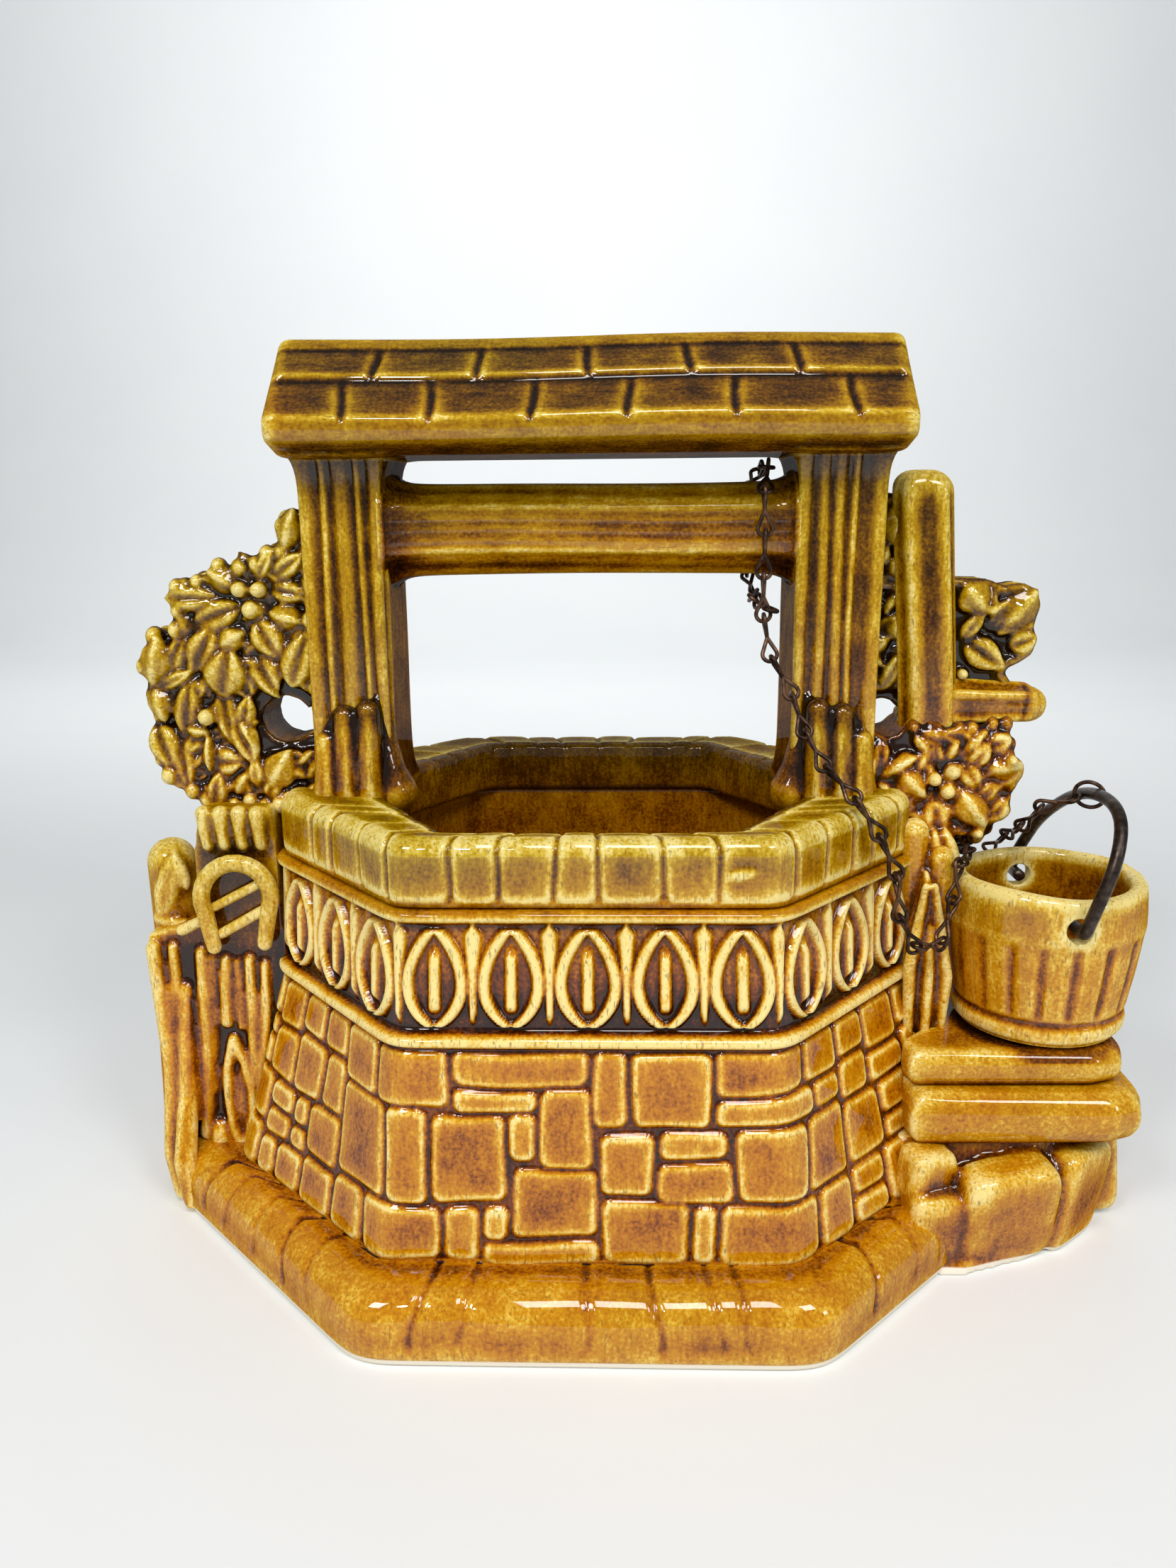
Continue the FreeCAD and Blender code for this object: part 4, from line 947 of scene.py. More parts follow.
    def build_wall(self) -> None:
        """The stone wall, its two beads and the band between them."""
        outer, inner = self.wall_rows()
        skin = self.ring.skin(outer + inner, True)
        count = len(outer)
        height = skin.points[:, :, 2].copy()
        relief = np.zeros(height.shape)
        tint = np.zeros(height.shape)
        up = height[:count]
        stones, inside = self.stone_relief(up)
        in_wall = step_down(up, self.wall_top - 0.9, self.wall_top - 0.1)
        relief[:count] = (stones - 0.5) * in_wall
        for below, above in ((self.wall_top, self.band_low), (self.band_high, self.coping_low)):
            relief[:count] += 1.6 * bell(up - 0.5 * (below + above), 1.2, 4)
        relief[:count] -= 0.5 * bell(up - self.wall_top + 0.1, 0.55)
        relief[:count] -= 1.0 * step_up(up, self.coping_low - 0.9, self.coping_low + 0.2)
        band = step_up(up, self.band_low - 0.5, self.band_low + 0.4)
        band = band * step_down(up, self.band_high - 0.4, self.band_high + 0.5)
        ornament, pool = self.band_relief(up)
        relief[:count] += band * (ornament - 0.8)
        tint[:count] = band * pool + in_wall * stone_shade(inside)
        # Painted shade under the coping's overhang
        tint[:count] -= 0.9 * step_up(up, self.coping_low - 1.9, self.coping_low - 0.8)
        # Darker at the wall's foot: glaze pooling and painted shade where it meets the plinth
        tint[:count] -= 0.6 * step_down(up, self.plinth_height + 0.2, self.plinth_height + 1.8)
        # Painted shade on the inside of the wall
        tint[count:] = -1.1
        skin.push(relief)
        made = skin.build("stone_wall")
        lay_relief(made, 10, 2.3, tint.ravel(), 0.1)
        dress(made, STONE_GLAZE, ("well_wall", "lower_bead", "frieze_band", "upper_bead"))

    def stone_relief(self, up: Array) -> Pair:
        """Stones all round the wall."""
        place = self.ring.run(WALL_MIDDLE)
        middle = 0.5 * (FOOT.front + NECK.front)
        share = np.clip((up - self.plinth_height) / (self.wall_top - self.plinth_height), 0.0, 1.0)
        spread = FOOT.front + (NECK.front - FOOT.front) * share - middle
        away = np.abs(place)
        reach = np.clip(away / middle, 0.0, 1.0) * step_down(away, middle, middle + 25.0)
        across = place[None, :] + np.sign(place)[None, :] * spread * reach[None, :]
        return stone_height(across, up, self.all_stones())

    def all_stones(self) -> List[Stone]:
        """The front's stones, the ones that turn its corners, and uneven ones round the rest."""
        rng = np.random.default_rng(self.seed)
        stones: List[Stone] = []
        for number, (left, low, right, high) in enumerate(FRONT_STONES):
            turned = 38.5 + 3.4 * math.sin(2.1 * number)
            if right > TURN_FROM:
                stones += [(left, low, turned, high), (turned + JOINT, low, TURN_END, high)]
            elif left < -TURN_FROM:
                stones += [(-turned, low, right, high), (-TURN_END, low, -turned - JOINT, high)]
            else:
                stones.append((left, low, right, high))
        low, high = self.plinth_height + 0.4, self.wall_top - 0.6
        start, end = TURN_END + JOINT, 0.5 * float(WALL_MIDDLE.lengths().sum()) - 0.6
        stones += split_stones((start, low, end, high), rng)
        stones += split_stones((-end, low, -start, high), rng)
        return stones

    def band_relief(self, up: Array) -> Pair:
        """A plain traditional band of upright leaves and darts.

        Args:
            up: height of each point.

        Returns:
            How far the ornament stands out, and the pooling of the glaze.
        """
        relief = np.zeros(up.shape)
        rise = np.clip((up - self.band_low) / (self.band_high - self.band_low), 0.0, 1.0)
        for side, length in enumerate(NECK.lengths()):
            columns = self.ring.side == side
            units = max(2, round(length / self.leaf_pitch))
            pitch = length / units
            place = self.ring.share[columns] * units
            local = ((place % 1.0) - 0.5)[None, :] * pitch
            level = rise[:, columns]
            tall = np.clip((level - 0.05) / 0.9, 0.0, 1.0)
            width = 0.36 * pitch * np.sin(math.pi * tall ** 0.85) ** 0.75
            rim = bell(np.abs(local) - width, 1.1, 4) * (width > 0.6)
            rib = np.exp(-local ** 4) * step_up(level, 0.14, 0.26) * step_down(level, 0.62, 0.8)
            dart_at = np.abs(np.abs(local) - 0.5 * pitch)
            dart_width = 0.35 + 1.2 * level * step_down(level, 0.88, 1.0)
            dart = bell(dart_at, dart_width, 4) * step_up(level, 0.04, 0.2)
            relief[:, columns] = np.maximum(np.maximum(rim, 0.85 * rib), 0.9 * dart) * 1.5
        stroke = step_up(relief, 0.35, 1.0)
        fall = 0.1 - 0.75 * step_down(rise, 0.05, 0.75)
        pool = fall * (1.0 - stroke) + 0.4 * stroke
        return relief, pool

    def build_coping(self) -> None:
        """The ring of blocks round the mouth."""
        bend = self.coping_round
        low, high = self.coping_low, self.coping_high
        plans: List[Row] = [(COPING.grown(-2.0), low, 3.0)]
        plans += [(COPING, float(height), self.wall_round)
                  for height in np.arange(low, high - bend, self.coping_step)]
        plans += [(COPING.grown(-bend * inward), high - bend * (1.0 - rise), self.wall_round)
                  for inward, rise in bend_steps(range(0, 91, 15))]
        count = len(plans) - 1
        outer = COPING.grown(-bend)
        slope = 14
        for step in range(1, slope):
            share = step / slope
            plan = outer.towards(MOUTH.grown(1.2), share)
            plans.append((plan, high - 0.5 * share, self.wall_round - share))
        plans += [(MOUTH.grown(0.6), high - 0.8, 2.4), (MOUTH, high - 1.8, 2.4), (MOUTH, high - 5.0, 2.4),
                  (MOUTH, low + 1.5, 2.4), (MOUTH.grown(0.6), low + 0.4, 2.4), (MOUTH.grown(2.0), low, 2.4)]
        skin = self.ring.skin(plans, True)
        height = skin.points[:, :, 2]
        along = self.ring.along(COPING)
        steps = np.linalg.norm(np.diff(skin.points[:, FRONT_COLUMN], axis=0), axis=1)
        path = np.concatenate([[0.0], np.cumsum(steps)])
        top = path[count]
        outward = step_up(path, 2.2, 3.0) * step_down(path, top + 1.0, top + 9.0)
        relief, shade = np.zeros(height.shape), np.zeros(height.shape)
        for side, length in enumerate(COPING.lengths()):
            columns = self.ring.side == side
            half = 0.5 * length
            joints = self.coping_joints if side == 0 else self.side_joints(side + 20, 2 * half - 6.0)
            edges = sorted([-half] + [joint for joint in joints if abs(joint) < half - 2.5] + [half])
            stones = [(start + (0.45 if start > -half else -6.0), low + 0.6,
                       end - (0.45 if end < half else -6.0), high + 12.0)
                      for start, end in zip(edges, edges[1:])]
            up = (low + path - 2.0)[:, None]
            across = np.broadcast_to(along[columns][None, :], (len(plans), int(columns.sum())))
            found = stone_height(across, np.broadcast_to(up, across.shape), stones, 1.8, 0.85)
            relief[:, columns], shade[:, columns] = found[0], stone_shade(found[1])
        above = height - self.scar[1]
        scar_at = np.hypot((skin.points[:, :, 0] - self.scar[0] - 0.9 * above) / 2.2, above / 1.1)
        scar = np.exp(-scar_at ** 4) * (skin.points[:, :, 1] < -40.0)
        skin.push((relief - 0.6) * outward[:, None] + 0.35 * scar)
        made = skin.build("coping_ring_blocks")
        tint = 0.5 * scar + shade * outward[:, None]
        # Painted shade down the inside of the mouth
        tint[count + slope - 1:] = -1.3
        # Painted shade on the coping's underside and lowest edge
        tint[:3] = -0.9
        lay_relief(made, 12, 1.8, tint.ravel(), 0.15)
        dress(made, COPING_GLAZE, ("coping_ring",))


# Posts, braces, crossbar and roof

@dataclass
class Timber:
    """The two ribbed posts, their braces and the crossbar."""

    inner: float = 38.3
    outer: float = 54.2
    half_depth: float = 10.5
    base: float = 86.7
    top: float = 149.8
    bar_low: float = 127.7
    bar_high: float = 145.2
    bar_half: float = 8.0
    # Ridges on a post's face: left and right edge of each
    left_ridges: Tuple[Flat, ...] = (
        (-54.4, -51.3), (-50.2, -48.9), (-47.5, -44.5), (-43.3, -42.2), (-41.0, -38.7))
    right_ridges: Tuple[Flat, ...] = ((37.6, 40.3), (41.8, 43.8), (44.8, 46.8), (47.8, 48.9), (51.4, 54.6))
    brace_middle: float = 46.75
    # A brace's outline, from its middle and its foot, and its ridges: x and height of each
    brace_edge: Tuple[Flat, ...] = (
        (-6.6, -0.8), (6.6, -0.8), (5.8, 7.0), (5.0, 13.5), (2.8, 16.4), (-2.8, 16.4), (-5.0, 13.5),
        (-5.8, 7.0))
    brace_ridges: Tuple[Flat, ...] = ((51.2, 12.5), (47.4, 17.6), (42.9, 18.6))
    # The root that runs from a brace's inner edge into the coping: x, y, height and radius
    brace_root: Tuple[Tuple[float, float, float, float], ...] = (
        (41.4, -8.0, 18.0, 2.4), (41.0, -8.4, 9.0, 3.0), (40.2, -8.8, 3.5, 3.7), (38.8, -9.2, -0.4, 4.4))

    def build(self) -> None:
        """Make the posts, the braces and the crossbar."""
        self.build_post(-1, "left_post")
        self.build_post(1, "right_post")
        self.build_brace(-1, "left_brace")
        self.build_brace(1, "right_brace")
        self.build_bar()

    def build_post(self, side: int, node: str) -> None:
        """A post with upright ridges on its front and back.

        Args:
            side: -1 for the left post and 1 for the right.
            node: the solid that it stands for.
        """
        half, depth = 0.5 * (self.outer - self.inner), self.half_depth
        middle = side * 0.5 * (self.inner + self.outer)
        section = [(-half, -depth), (half, -depth), (half, depth), (-half, depth)]
        outline = round_loop(even_loop(section, 0.34), 13)
        heights = np.arange(self.base - 0.6, self.top + 1.0, 1.1)
        points = grid(middle + outline[:, 0], outline[:, 1], heights[:, None])
        skin = Skin(points)
        up = points[:, :, 2]
        relief = np.zeros(up.shape)
        for number, (low, high) in enumerate(self.left_ridges if side < 0 else self.right_ridges):
            drift = 0.22 * np.sin(0.09 * up + number * 1.9 + side)
            half = 0.5 * (high - low) + 0.15
            away = np.abs(points[:, :, 0] - 0.5 * (low + high) - drift)
            relief = np.maximum(relief, (0.65 + 0.3 * half) * bell(away, half, 3))
        face = step_up(np.abs(outline[:, 1]), depth - 2.0, depth - 0.7)[None, :]
        relief = (relief - 0.8) * face
        flare = 1.6 * np.exp(-(self.top - up) / 2.2) + 1.2 * np.exp(-(up - self.base) / 2.4)
        skin.push(relief + flare + 0.15 * wobble(up * 0.5, points[:, :, 0], 3.0))
        made = skin.build(f"{node}_ribs")
        # Painted shade on the post's side faces, and under the roof at its top
        tint = -0.12 * (1.0 - face) - 0.12 * step_up(up, 144.0, 149.0)
        lay_relief(made, 12, 2.2, tint.ravel())
        dress(made, WOOD_GLAZE, (node,))

    def build_brace(self, side: int, node: str) -> None:
        """The sleeve of glazed clay round a post's foot, with pointed ridges on its front.

        Args:
            side: -1 for the left post and 1 for the right.
            node: the solid that it stands for.
        """
        clay = Clay(f"{node}_block", 0.5)
        middle, front = side * self.brace_middle, -self.half_depth
        outline = [(middle + x, self.base + up) for x, up in self.brace_edge]
        clay.upright(outline, front - 1.6, front + 2.0)
        for x, tall in self.brace_ridges:
            top, crest = self.base + tall, side * (x - 0.4)
            clay.rod([(side * x, front - 1.7, self.base), (side * x, front - 1.0, top - 2.6)], [2.8, 2.4])
            clay.rod([(crest, front - 4.1, self.base + 0.5), (crest, front - 3.2, top - 4.0)], [0.8, 0.5])
        clay.rod([(side * x, y, self.base + up) for x, y, up, _ in self.brace_root],
                 [radius for _, _, _, radius in self.brace_root])
        dress(clay.cast(2, 9, 2.0, self.brace_shade), BRACE_GLAZE, (node,))

    def brace_shade(self, points: Array) -> Array:
        """Darker glaze and painted shade on the ground behind the ridges, and dark glaze over the sleeve's
        top.
        """
        _, y, z = points.T
        # Painted shade, over darker glaze, on the ground behind the ridges
        low = -0.45 * step_up(y, -self.half_depth - 3.6, -self.half_depth - 2.2)
        return low - 0.6 * step_up(z, self.base + 11.0, self.base + 16.0)

    def build_bar(self) -> None:
        """The crossbar, with a broad front facet and a grain of long streaks."""
        section = [
            (-4.4, self.bar_low), (0.0, self.bar_low - 0.2), (4.4, self.bar_low), (self.bar_half, 132.2),
            (self.bar_half, 141.2), (4.0, self.bar_high), (-4.0, self.bar_high), (-self.bar_half, 141.0),
            (-self.bar_half, 132.2)]
        loop = round_loop(even_loop(section, 0.6), 4)
        across = np.arange(-self.inner - 1.0, self.inner + 1.01, 1.0)
        points = grid(across[:, None], loop[:, 0], loop[:, 1])
        skin = Skin(points)
        gap = self.inner - np.abs(points[:, :, 0])
        flare = 2.0 * np.exp(-gap / 1.6) + 0.5 * np.exp(-gap / 6.0) - 0.35
        grain = 0.08 * np.sin(3.1 * points[:, :, 2] + 1.2 * np.sin(0.07 * points[:, :, 0]))
        skin.push(flare + grain + 0.12 * wobble(points[:, :, 0] * 0.4, points[:, :, 2] * 0.5, 4.0))
        made = skin.build("crossbar_beam")
        height = skin.points[:, :, 2]
        # Lighter along the front facet's lower edge: breaking glaze and a painted highlight
        tint = 0.22 * bell(height - 132.8, 0.9)
        # Painted shade on the lower facet, which faces down
        tint = tint - 0.28 * step_down(height, 129.5, 132.4)
        tint = tint + 0.12 * step_up(height, 136.0, 143.0)
        lay_relief(made, 10, 1.6, tint.ravel())
        dress(made, BAR_GLAZE, ("crossbar",))


def even_loop(corners: Sequence[Flat], step: float) -> Array:
    """Evenly spaced points along a closed outline."""
    placed = []
    for (x0, y0), (x1, y1) in zip(corners, list(corners[1:]) + [corners[0]]):
        count = max(1, round(math.hypot(x1 - x0, y1 - y0) / step))
        for index in range(count):
            share = index / count
            placed.append((x0 + (x1 - x0) * share, y0 + (y1 - y0) * share))
    return np.array(placed)


def round_loop(loop: Array, turns: int) -> Array:
    """Round a closed outline's corners."""
    for _ in range(turns):
        loop = 0.5 * loop + 0.25 * (np.roll(loop, 1, axis=0) + np.roll(loop, -1, axis=0))
    return loop


@dataclass
class Roof:
    """The gabled roof slab, with two rows of shingles on each slope."""

    half_length: float = 57.5
    half_depth: float = 20.3
    ridge_half: float = 5.0
    ridge: float = 171.0
    eave: float = 155.2
    soffit: float = 149.8
    soffit_half: float = 12.5
    post_middle: float = 46.25
    upper_joints: Tuple[float, ...] = (-38.6, -19.6, 0.1, 17.9, 37.1)
    lower_joints: Tuple[float, ...] = (-43.6, -28.1, -9.9, 7.2, 26.0, 46.6)

    def build(self) -> None:
        """Make the roof."""
        half = [(self.ridge_half, self.ridge), (self.half_depth, self.eave), (self.half_depth - 0.6, 152.0),
                (self.soffit_half, self.soffit)]
        section = half + [(-y, z) for y, z in reversed(half)]
        loop = round_loop(even_loop(section[::-1], 0.5), 6)
        stations = [0.0, 0.25, 0.7, 1.3, 2.0]
        across = [-self.half_length + part for part in stations]
        across += list(np.arange(-self.half_length + 2.5, self.half_length - 2.4, 0.5))
        across += [self.half_length - part for part in reversed(stations)]
        points = grid(np.array(across)[:, None], loop[:, 0], loop[:, 1])
        centre = np.array([0.0, 159.0])
        reach = np.linalg.norm(loop - centre, axis=1, keepdims=True)
        for row, x in enumerate(across):
            inset = max(0.0, 2.0 - (self.half_length - abs(x)))
            shrink = 1.9 * (1.0 - math.sqrt(max(0.0, 1.0 - (inset / 2.0) ** 2)))
            points[row, :, 1:] = loop - (loop - centre) / reach * shrink
        skin = Skin(points)
        x, y, z = (points[:, :, axis] for axis in range(3))
        fall = np.clip((np.abs(y) - self.ridge_half) / (self.half_depth - self.ridge_half), 0.0, 1.0)
        on_slope = step_up(z, self.eave - 0.4, self.eave + 0.8)
        relief, shade = self.shingles(x, fall)
        away = self.half_length - np.abs(x)
        relief = relief * on_slope * step_up(away, 0.2, 2.5)
        sag = 0.45 * np.sin(0.06 * x + 0.5) + 0.3 * wobble(x * 0.3, y * 0.2, 6.0)
        inside = 0.5 * bell(np.abs(x) - self.post_middle, 9.5, 6) * (z < self.soffit + 0.6)
        skin.push(relief + inside)
        skin.points[:, :, 2] += sag * step_up(skin.points[:, :, 2], 150.5, 153.0) * 0.7
        made = skin.build("roof_shingles")
        # Lighter along the eave's edge: breaking glaze and a painted highlight
        tint = shade * on_slope + 0.22 * bell(z - 154.0, 1.5)
        # Painted shade on the roof's underside
        tint = tint + 0.2 * bell(away, 2.0) - 0.3 * step_down(z, 150.0, 152.0)
        lay_relief(made, 10, 1.5, tint.ravel(), 0.1)
        dress(made, ROOF_GLAZE, ("roof",))

    def shingles(self, across: Array, fall: Array) -> Pair:
        """Two rows of shingles, each thicker at its lower edge.

        Args:
            across: place along the roof.
            fall: 0 at the ridge and 1 at the eave.

        Returns:
            How far the shingles stand out, and how light or dark the glaze is, with painted shadow at the top
            of each row and a painted highlight on each lower lip.
        """
        relief = np.zeros(across.shape)
        shade = 0.15 * step_down(fall, 0.06, 0.12)
        rows = ((0.12, 0.5, self.upper_joints, 1.0), (0.5, 1.0, self.lower_joints, 2.0))
        for start, end, joints, seed in rows:
            inside = step_up(fall, start - 0.01, start + 0.02) * (fall <= end)
            share = np.clip((fall - start) / (end - start), 0.0, 1.0)
            near = np.full(across.shape, 99.0)
            for number, joint in enumerate(joints):
                drift = 0.5 * np.sin(6.0 * fall + number + seed)
                near = np.minimum(near, np.abs(across - joint - drift))
            row = 1.05 * share - 0.4 - 0.7 * bell(near, 0.65) * step_up(share, 0.05, 0.3)
            colour = -0.4 * bell(near, 0.6) + 0.22 * bell(near - 1.5, 0.6)
            # Painted shadow at the top of each row, under the edge above it; the darker middle of each
            # shingle is the glaze's own
            colour = colour - 0.45 * bell(share, 0.12) - 0.16 * step_up(near, 2.0, 5.0)
            # Lighter on each lower lip: breaking glaze and a painted highlight
            colour = colour + 0.3 * bell(share - 0.9, 0.07)
            relief = relief * (1.0 - inside) + row * inside
            shade = shade * (1.0 - inside) + colour * inside
        return relief, shade


# Scenery at the left: leaves, stump, log and horseshoe

Leaf = Tuple[float, float, float, float, float]
LEFT_HOLE: Point = (-60.4, 100.4, 4.6)
RIGHT_HOLE: Point = (56.9, 99.9, 3.4)
NO_HOLE: Point = (0.0, 0.0, 0.0)


def press_leaves(clay: Clay, leaves: Sequence[Leaf], face: float, lift: float) -> None:
    """Lay leaves and berries on the front, and their like on the back.

    Args:
        clay: the clay to add them to.
        leaves: x, z, length, width and turn of each; as long as wide means a berry.
        face: how far in front of the middle they lie.
        lift: how far they stand out.
    """
    for sign in FACES:
        for number, (x, z, length, width, turn) in enumerate(leaves):
            depth = sign * (face + 0.4 * math.sin(1.7 * number))
            if abs(length - width) < 0.05:
                clay.ball((x, depth + sign * 0.4 * lift, z), (length / 2, lift, width / 2))
            else:
                groove = 0.5 if number % 3 else -0.3
                tilt = 0.6 * math.sin(2.3 * number)
                thick = lift * (0.6 + 0.08 * width)
                clay.leaf((x, depth, z), length * 1.3, width * 1.45, thick, turn, 0.9, groove, tilt)


def fill_leaves(clay: Clay, outline: Sequence[Flat], face: float, seed: int, clear: Point = NO_HOLE) -> None:
    """Small leaves under the others, turned by chance, so that no flat ground shows.

    Args:
        clay: the clay to add them to.
        outline: the edge of the leafy mass in x and z.
        face: how far in front of the middle they lie.
        seed: the source of chance.
        clear: x, z and radius of a hole that stays open.
    """
    rng = np.random.default_rng(seed)
    edge = np.array(outline)
    low, high = edge.min(axis=0), edge.max(axis=0)
    for x in np.arange(low[0], high[0], 3.1):
        for z in np.arange(low[1], high[1], 3.1):
            spot = np.array([x, z]) + rng.uniform(-1.2, 1.2, 2)
            size, turn = rng.uniform(4.4, 7.0), rng.uniform(0.0, 360.0)
            groove, tilt = rng.choice([-0.3, 0.5]), rng.uniform(-0.6, 0.6)
            in_hole = np.hypot(*(spot - clear[:2])) < clear[2] + 0.45 * size
            near_edge = np.linalg.norm(edge - spot, axis=1).min() <= 1.2
            if within(edge, spot) and not near_edge and not in_hole:
                for sign in FACES:
                    middle = (spot[0], sign * face, spot[1])
                    clay.leaf(middle, size, 0.55 * size, 1.6, turn, 0.9, groove, tilt)


def edge_leaves(clay: Clay, outline: Sequence[Flat], half: float, seed: int, clear: Point = NO_HOLE) -> None:
    """Small lumps round the edge of a leafy mass, so that its sides aren't flat.

    Args:
        clay: the clay to add them to.
        outline: the edge of the leafy mass in x and z.
        half: half of its depth.
        seed: the source of chance.
        clear: x, z and radius of a hole that stays open.
    """
    rng = np.random.default_rng(seed)
    for x, z in even_loop(outline, 3.2):
        for y in np.linspace(-half - 0.4, half + 0.4, max(2, round(half / 1.7))):
            size, drift = rng.uniform(1.4, 2.1), rng.uniform(-0.7, 0.7, 3)
            if math.hypot(x - clear[0], z - clear[1]) > clear[2] + 1.5:
                clay.ball((x + drift[0], y + drift[1], z + drift[2]), (0.85 * size, 1.3 * size, size))


def within(edge: Array, spot: Array) -> bool:
    """Whether a spot lies inside an outline."""
    after = np.roll(edge, -1, axis=0)
    spans = (edge[:, 1] > spot[1]) != (after[:, 1] > spot[1])
    rise = np.where(spans, after[:, 1] - edge[:, 1], 1.0)
    crossing = edge[:, 0] + (spot[1] - edge[:, 1]) / rise * (after[:, 0] - edge[:, 0])
    return int((spans & (spot[0] < crossing)).sum()) % 2 == 1


def dress_leaves(clay: Clay, face: float, finish: Glaze, node: str, depth: float = 0.95) -> None:
    """Cast a leafy mass and glaze it, with painted shade in its gaps, and cream from breaking glaze and
    painted light on the leaves that stand out most.

    Args:
        clay: the clay that it is pressed from.
        face: how far from the middle plane the ground between its leaves lies.
        finish: its glaze.
        node: the solid that it stands for.
        depth: how dark the painted shade on the ground is.
    """
    def shade(points: Array) -> Array:
        """Paint shade on what lies near the ground, and light on what stands out."""
        out = np.abs(points[:, 1]) - face
        ground = step_up(out, -1.5, -0.4) * step_down(out, 0.5, 1.9)
        return 0.12 * step_up(out, 1.4, 3.2) - depth * ground
    dress(clay.cast(3, 5, 2.8, shade), finish, (node,))


@dataclass
class LeftScenery:
    """The flowering shrub, the stump under it, the cut log and the horseshoe."""

    shrub_half: float = 6.6
    stump_half: float = 13.8
    # Ridges down the trunk: top, middle and low end of each, and its radius
    stump_ridges: Tuple[Tuple[Tuple[Flat, ...], float], ...] = (
        (((-88.6, 55.0), (-87.0, 34.0), (-86.2, 13.0)), 2.1),
        (((-84.6, 55.0), (-84.2, 34.0), (-84.8, 14.0)), 1.4),
        (((-79.0, 54.0), (-79.2, 34.0), (-81.0, 14.0)), 1.5),
        (((-76.8, 53.0), (-77.4, 40.0), (-78.6, 24.0)), 0.8),
        (((-74.2, 52.5), (-74.5, 46.0), (-74.8, 39.0)), 1.25),
        (((-71.8, 52.0), (-71.8, 45.0), (-72.0, 38.0)), 0.8),
        (((-69.3, 52.5), (-69.4, 40.0), (-69.8, 26.0)), 1.35),
        (((-66.2, 51.5), (-66.8, 40.0), (-68.6, 24.0)), 1.2))
    # Where the trunk runs down over the plinth: y, x and radius of each lobe
    foot_lobes: Tuple[Point, ...] = (
        (-19.6, -83.6, 2.3), (-15.6, -86.8, 2.6), (-10.5, -88.2, 2.8), (-5.5, -88.4, 2.8),
        (0.0, -88.4, 2.8), (5.0, -88.2, 2.8), (9.0, -87.6, 2.4))
    # The edge of the loop-shaped knot, and the stubs along the neck's top
    knot: Tuple[Flat, ...] = (
        (-73.8, 35.2), (-75.4, 29.0), (-75.7, 22.9), (-75.2, 16.0), (-74.0, 11.8), (-72.0, 14.0),
        (-70.8, 19.0), (-70.6, 24.0), (-71.8, 30.5), (-73.8, 35.2))
    neck_stubs: Tuple[float, ...] = (-76.0, -72.6, -69.0, -65.4)
    # The horseshoe's middle, half width and half height, and the bars behind it with their radii
    shoe_middle: Flat = (-70.2, 66.4)
    shoe_half: Flat = (6.9, 7.1)
    bars: Tuple[Tuple[Point, Point, Flat], ...] = (
        ((-75.2, -14.2, 64.0), (-66.2, -14.4, 68.7), (1.0, 1.0)),
        ((-74.0, -14.2, 58.5), (-65.4, -14.4, 63.4), (1.1, 1.1)),
        ((-82.6, -12.6, 58.6), (-77.0, -13.4, 61.5), (1.2, 1.1)))
    # Leaves of the shrub: x, z, length, width, turn
    leaves: Tuple[Leaf, ...] = (
        (-56.7, 136.9, 6.6, 3.3, 75), (-57.2, 130.2, 5.9, 2.9, 35), (-57.6, 125.2, 6.3, 3.2, -10),
        (-58.3, 120.4, 5.9, 3.8, -15), (-62.2, 116.3, 6.8, 4.4, -60), (-61.9, 130.3, 5.5, 2.0, 60),
        (-69.8, 127.6, 5.9, 3.7, 150), (-71.6, 121.0, 8.4, 4.4, 20), (-66.8, 125.8, 3.0, 3.0, 0),
        (-63.2, 125.7, 3.0, 3.0, 0), (-65.0, 121.9, 3.6, 3.6, 0), (-76.4, 124.2, 8.6, 3.6, 0),
        (-69.2, 116.3, 4.4, 3.2, 30), (-75.0, 114.4, 8.0, 4.8, 60), (-80.4, 113.6, 7.6, 2.8, 65),
        (-84.4, 112.4, 8.1, 4.4, 80), (-70.9, 110.0, 8.0, 6.0, 75), (-63.3, 109.9, 7.2, 4.4, -60),
        (-63.6, 107.6, 6.4, 2.0, -45), (-56.4, 112.3, 9.2, 4.8, 70), (-80.9, 108.6, 6.1, 2.0, 25),
        (-84.4, 104.0, 6.1, 3.7, -80), (-79.0, 103.1, 9.3, 3.9, 80), (-75.1, 101.3, 3.3, 3.3, 0),
        (-77.5, 98.6, 3.7, 2.4, -10), (-71.3, 101.1, 9.7, 3.7, -80), (-67.6, 102.2, 5.3, 2.8, 75),
        (-67.2, 97.6, 6.0, 1.8, -60), (-84.2, 95.4, 7.8, 4.5, -70), (-80.6, 92.0, 9.5, 3.3, -85),
        (-75.5, 94.1, 6.1, 1.6, 88), (-68.1, 96.8, 9.0, 3.7, -70), (-72.0, 92.2, 4.9, 4.1, 0),
        (-61.8, 90.6, 7.4, 4.7, 60), (-66.4, 90.3, 4.9, 2.1, 90), (-74.5, 86.6, 5.8, 2.9, 80),
        (-69.5, 87.8, 4.5, 2.5, 60), (-63.4, 87.0, 3.7, 2.5, 60))

    def build(self) -> None:
        """Make the four pieces."""
        self.build_shrub()
        self.build_stump()
        self.build_log()
        self.build_horseshoe()

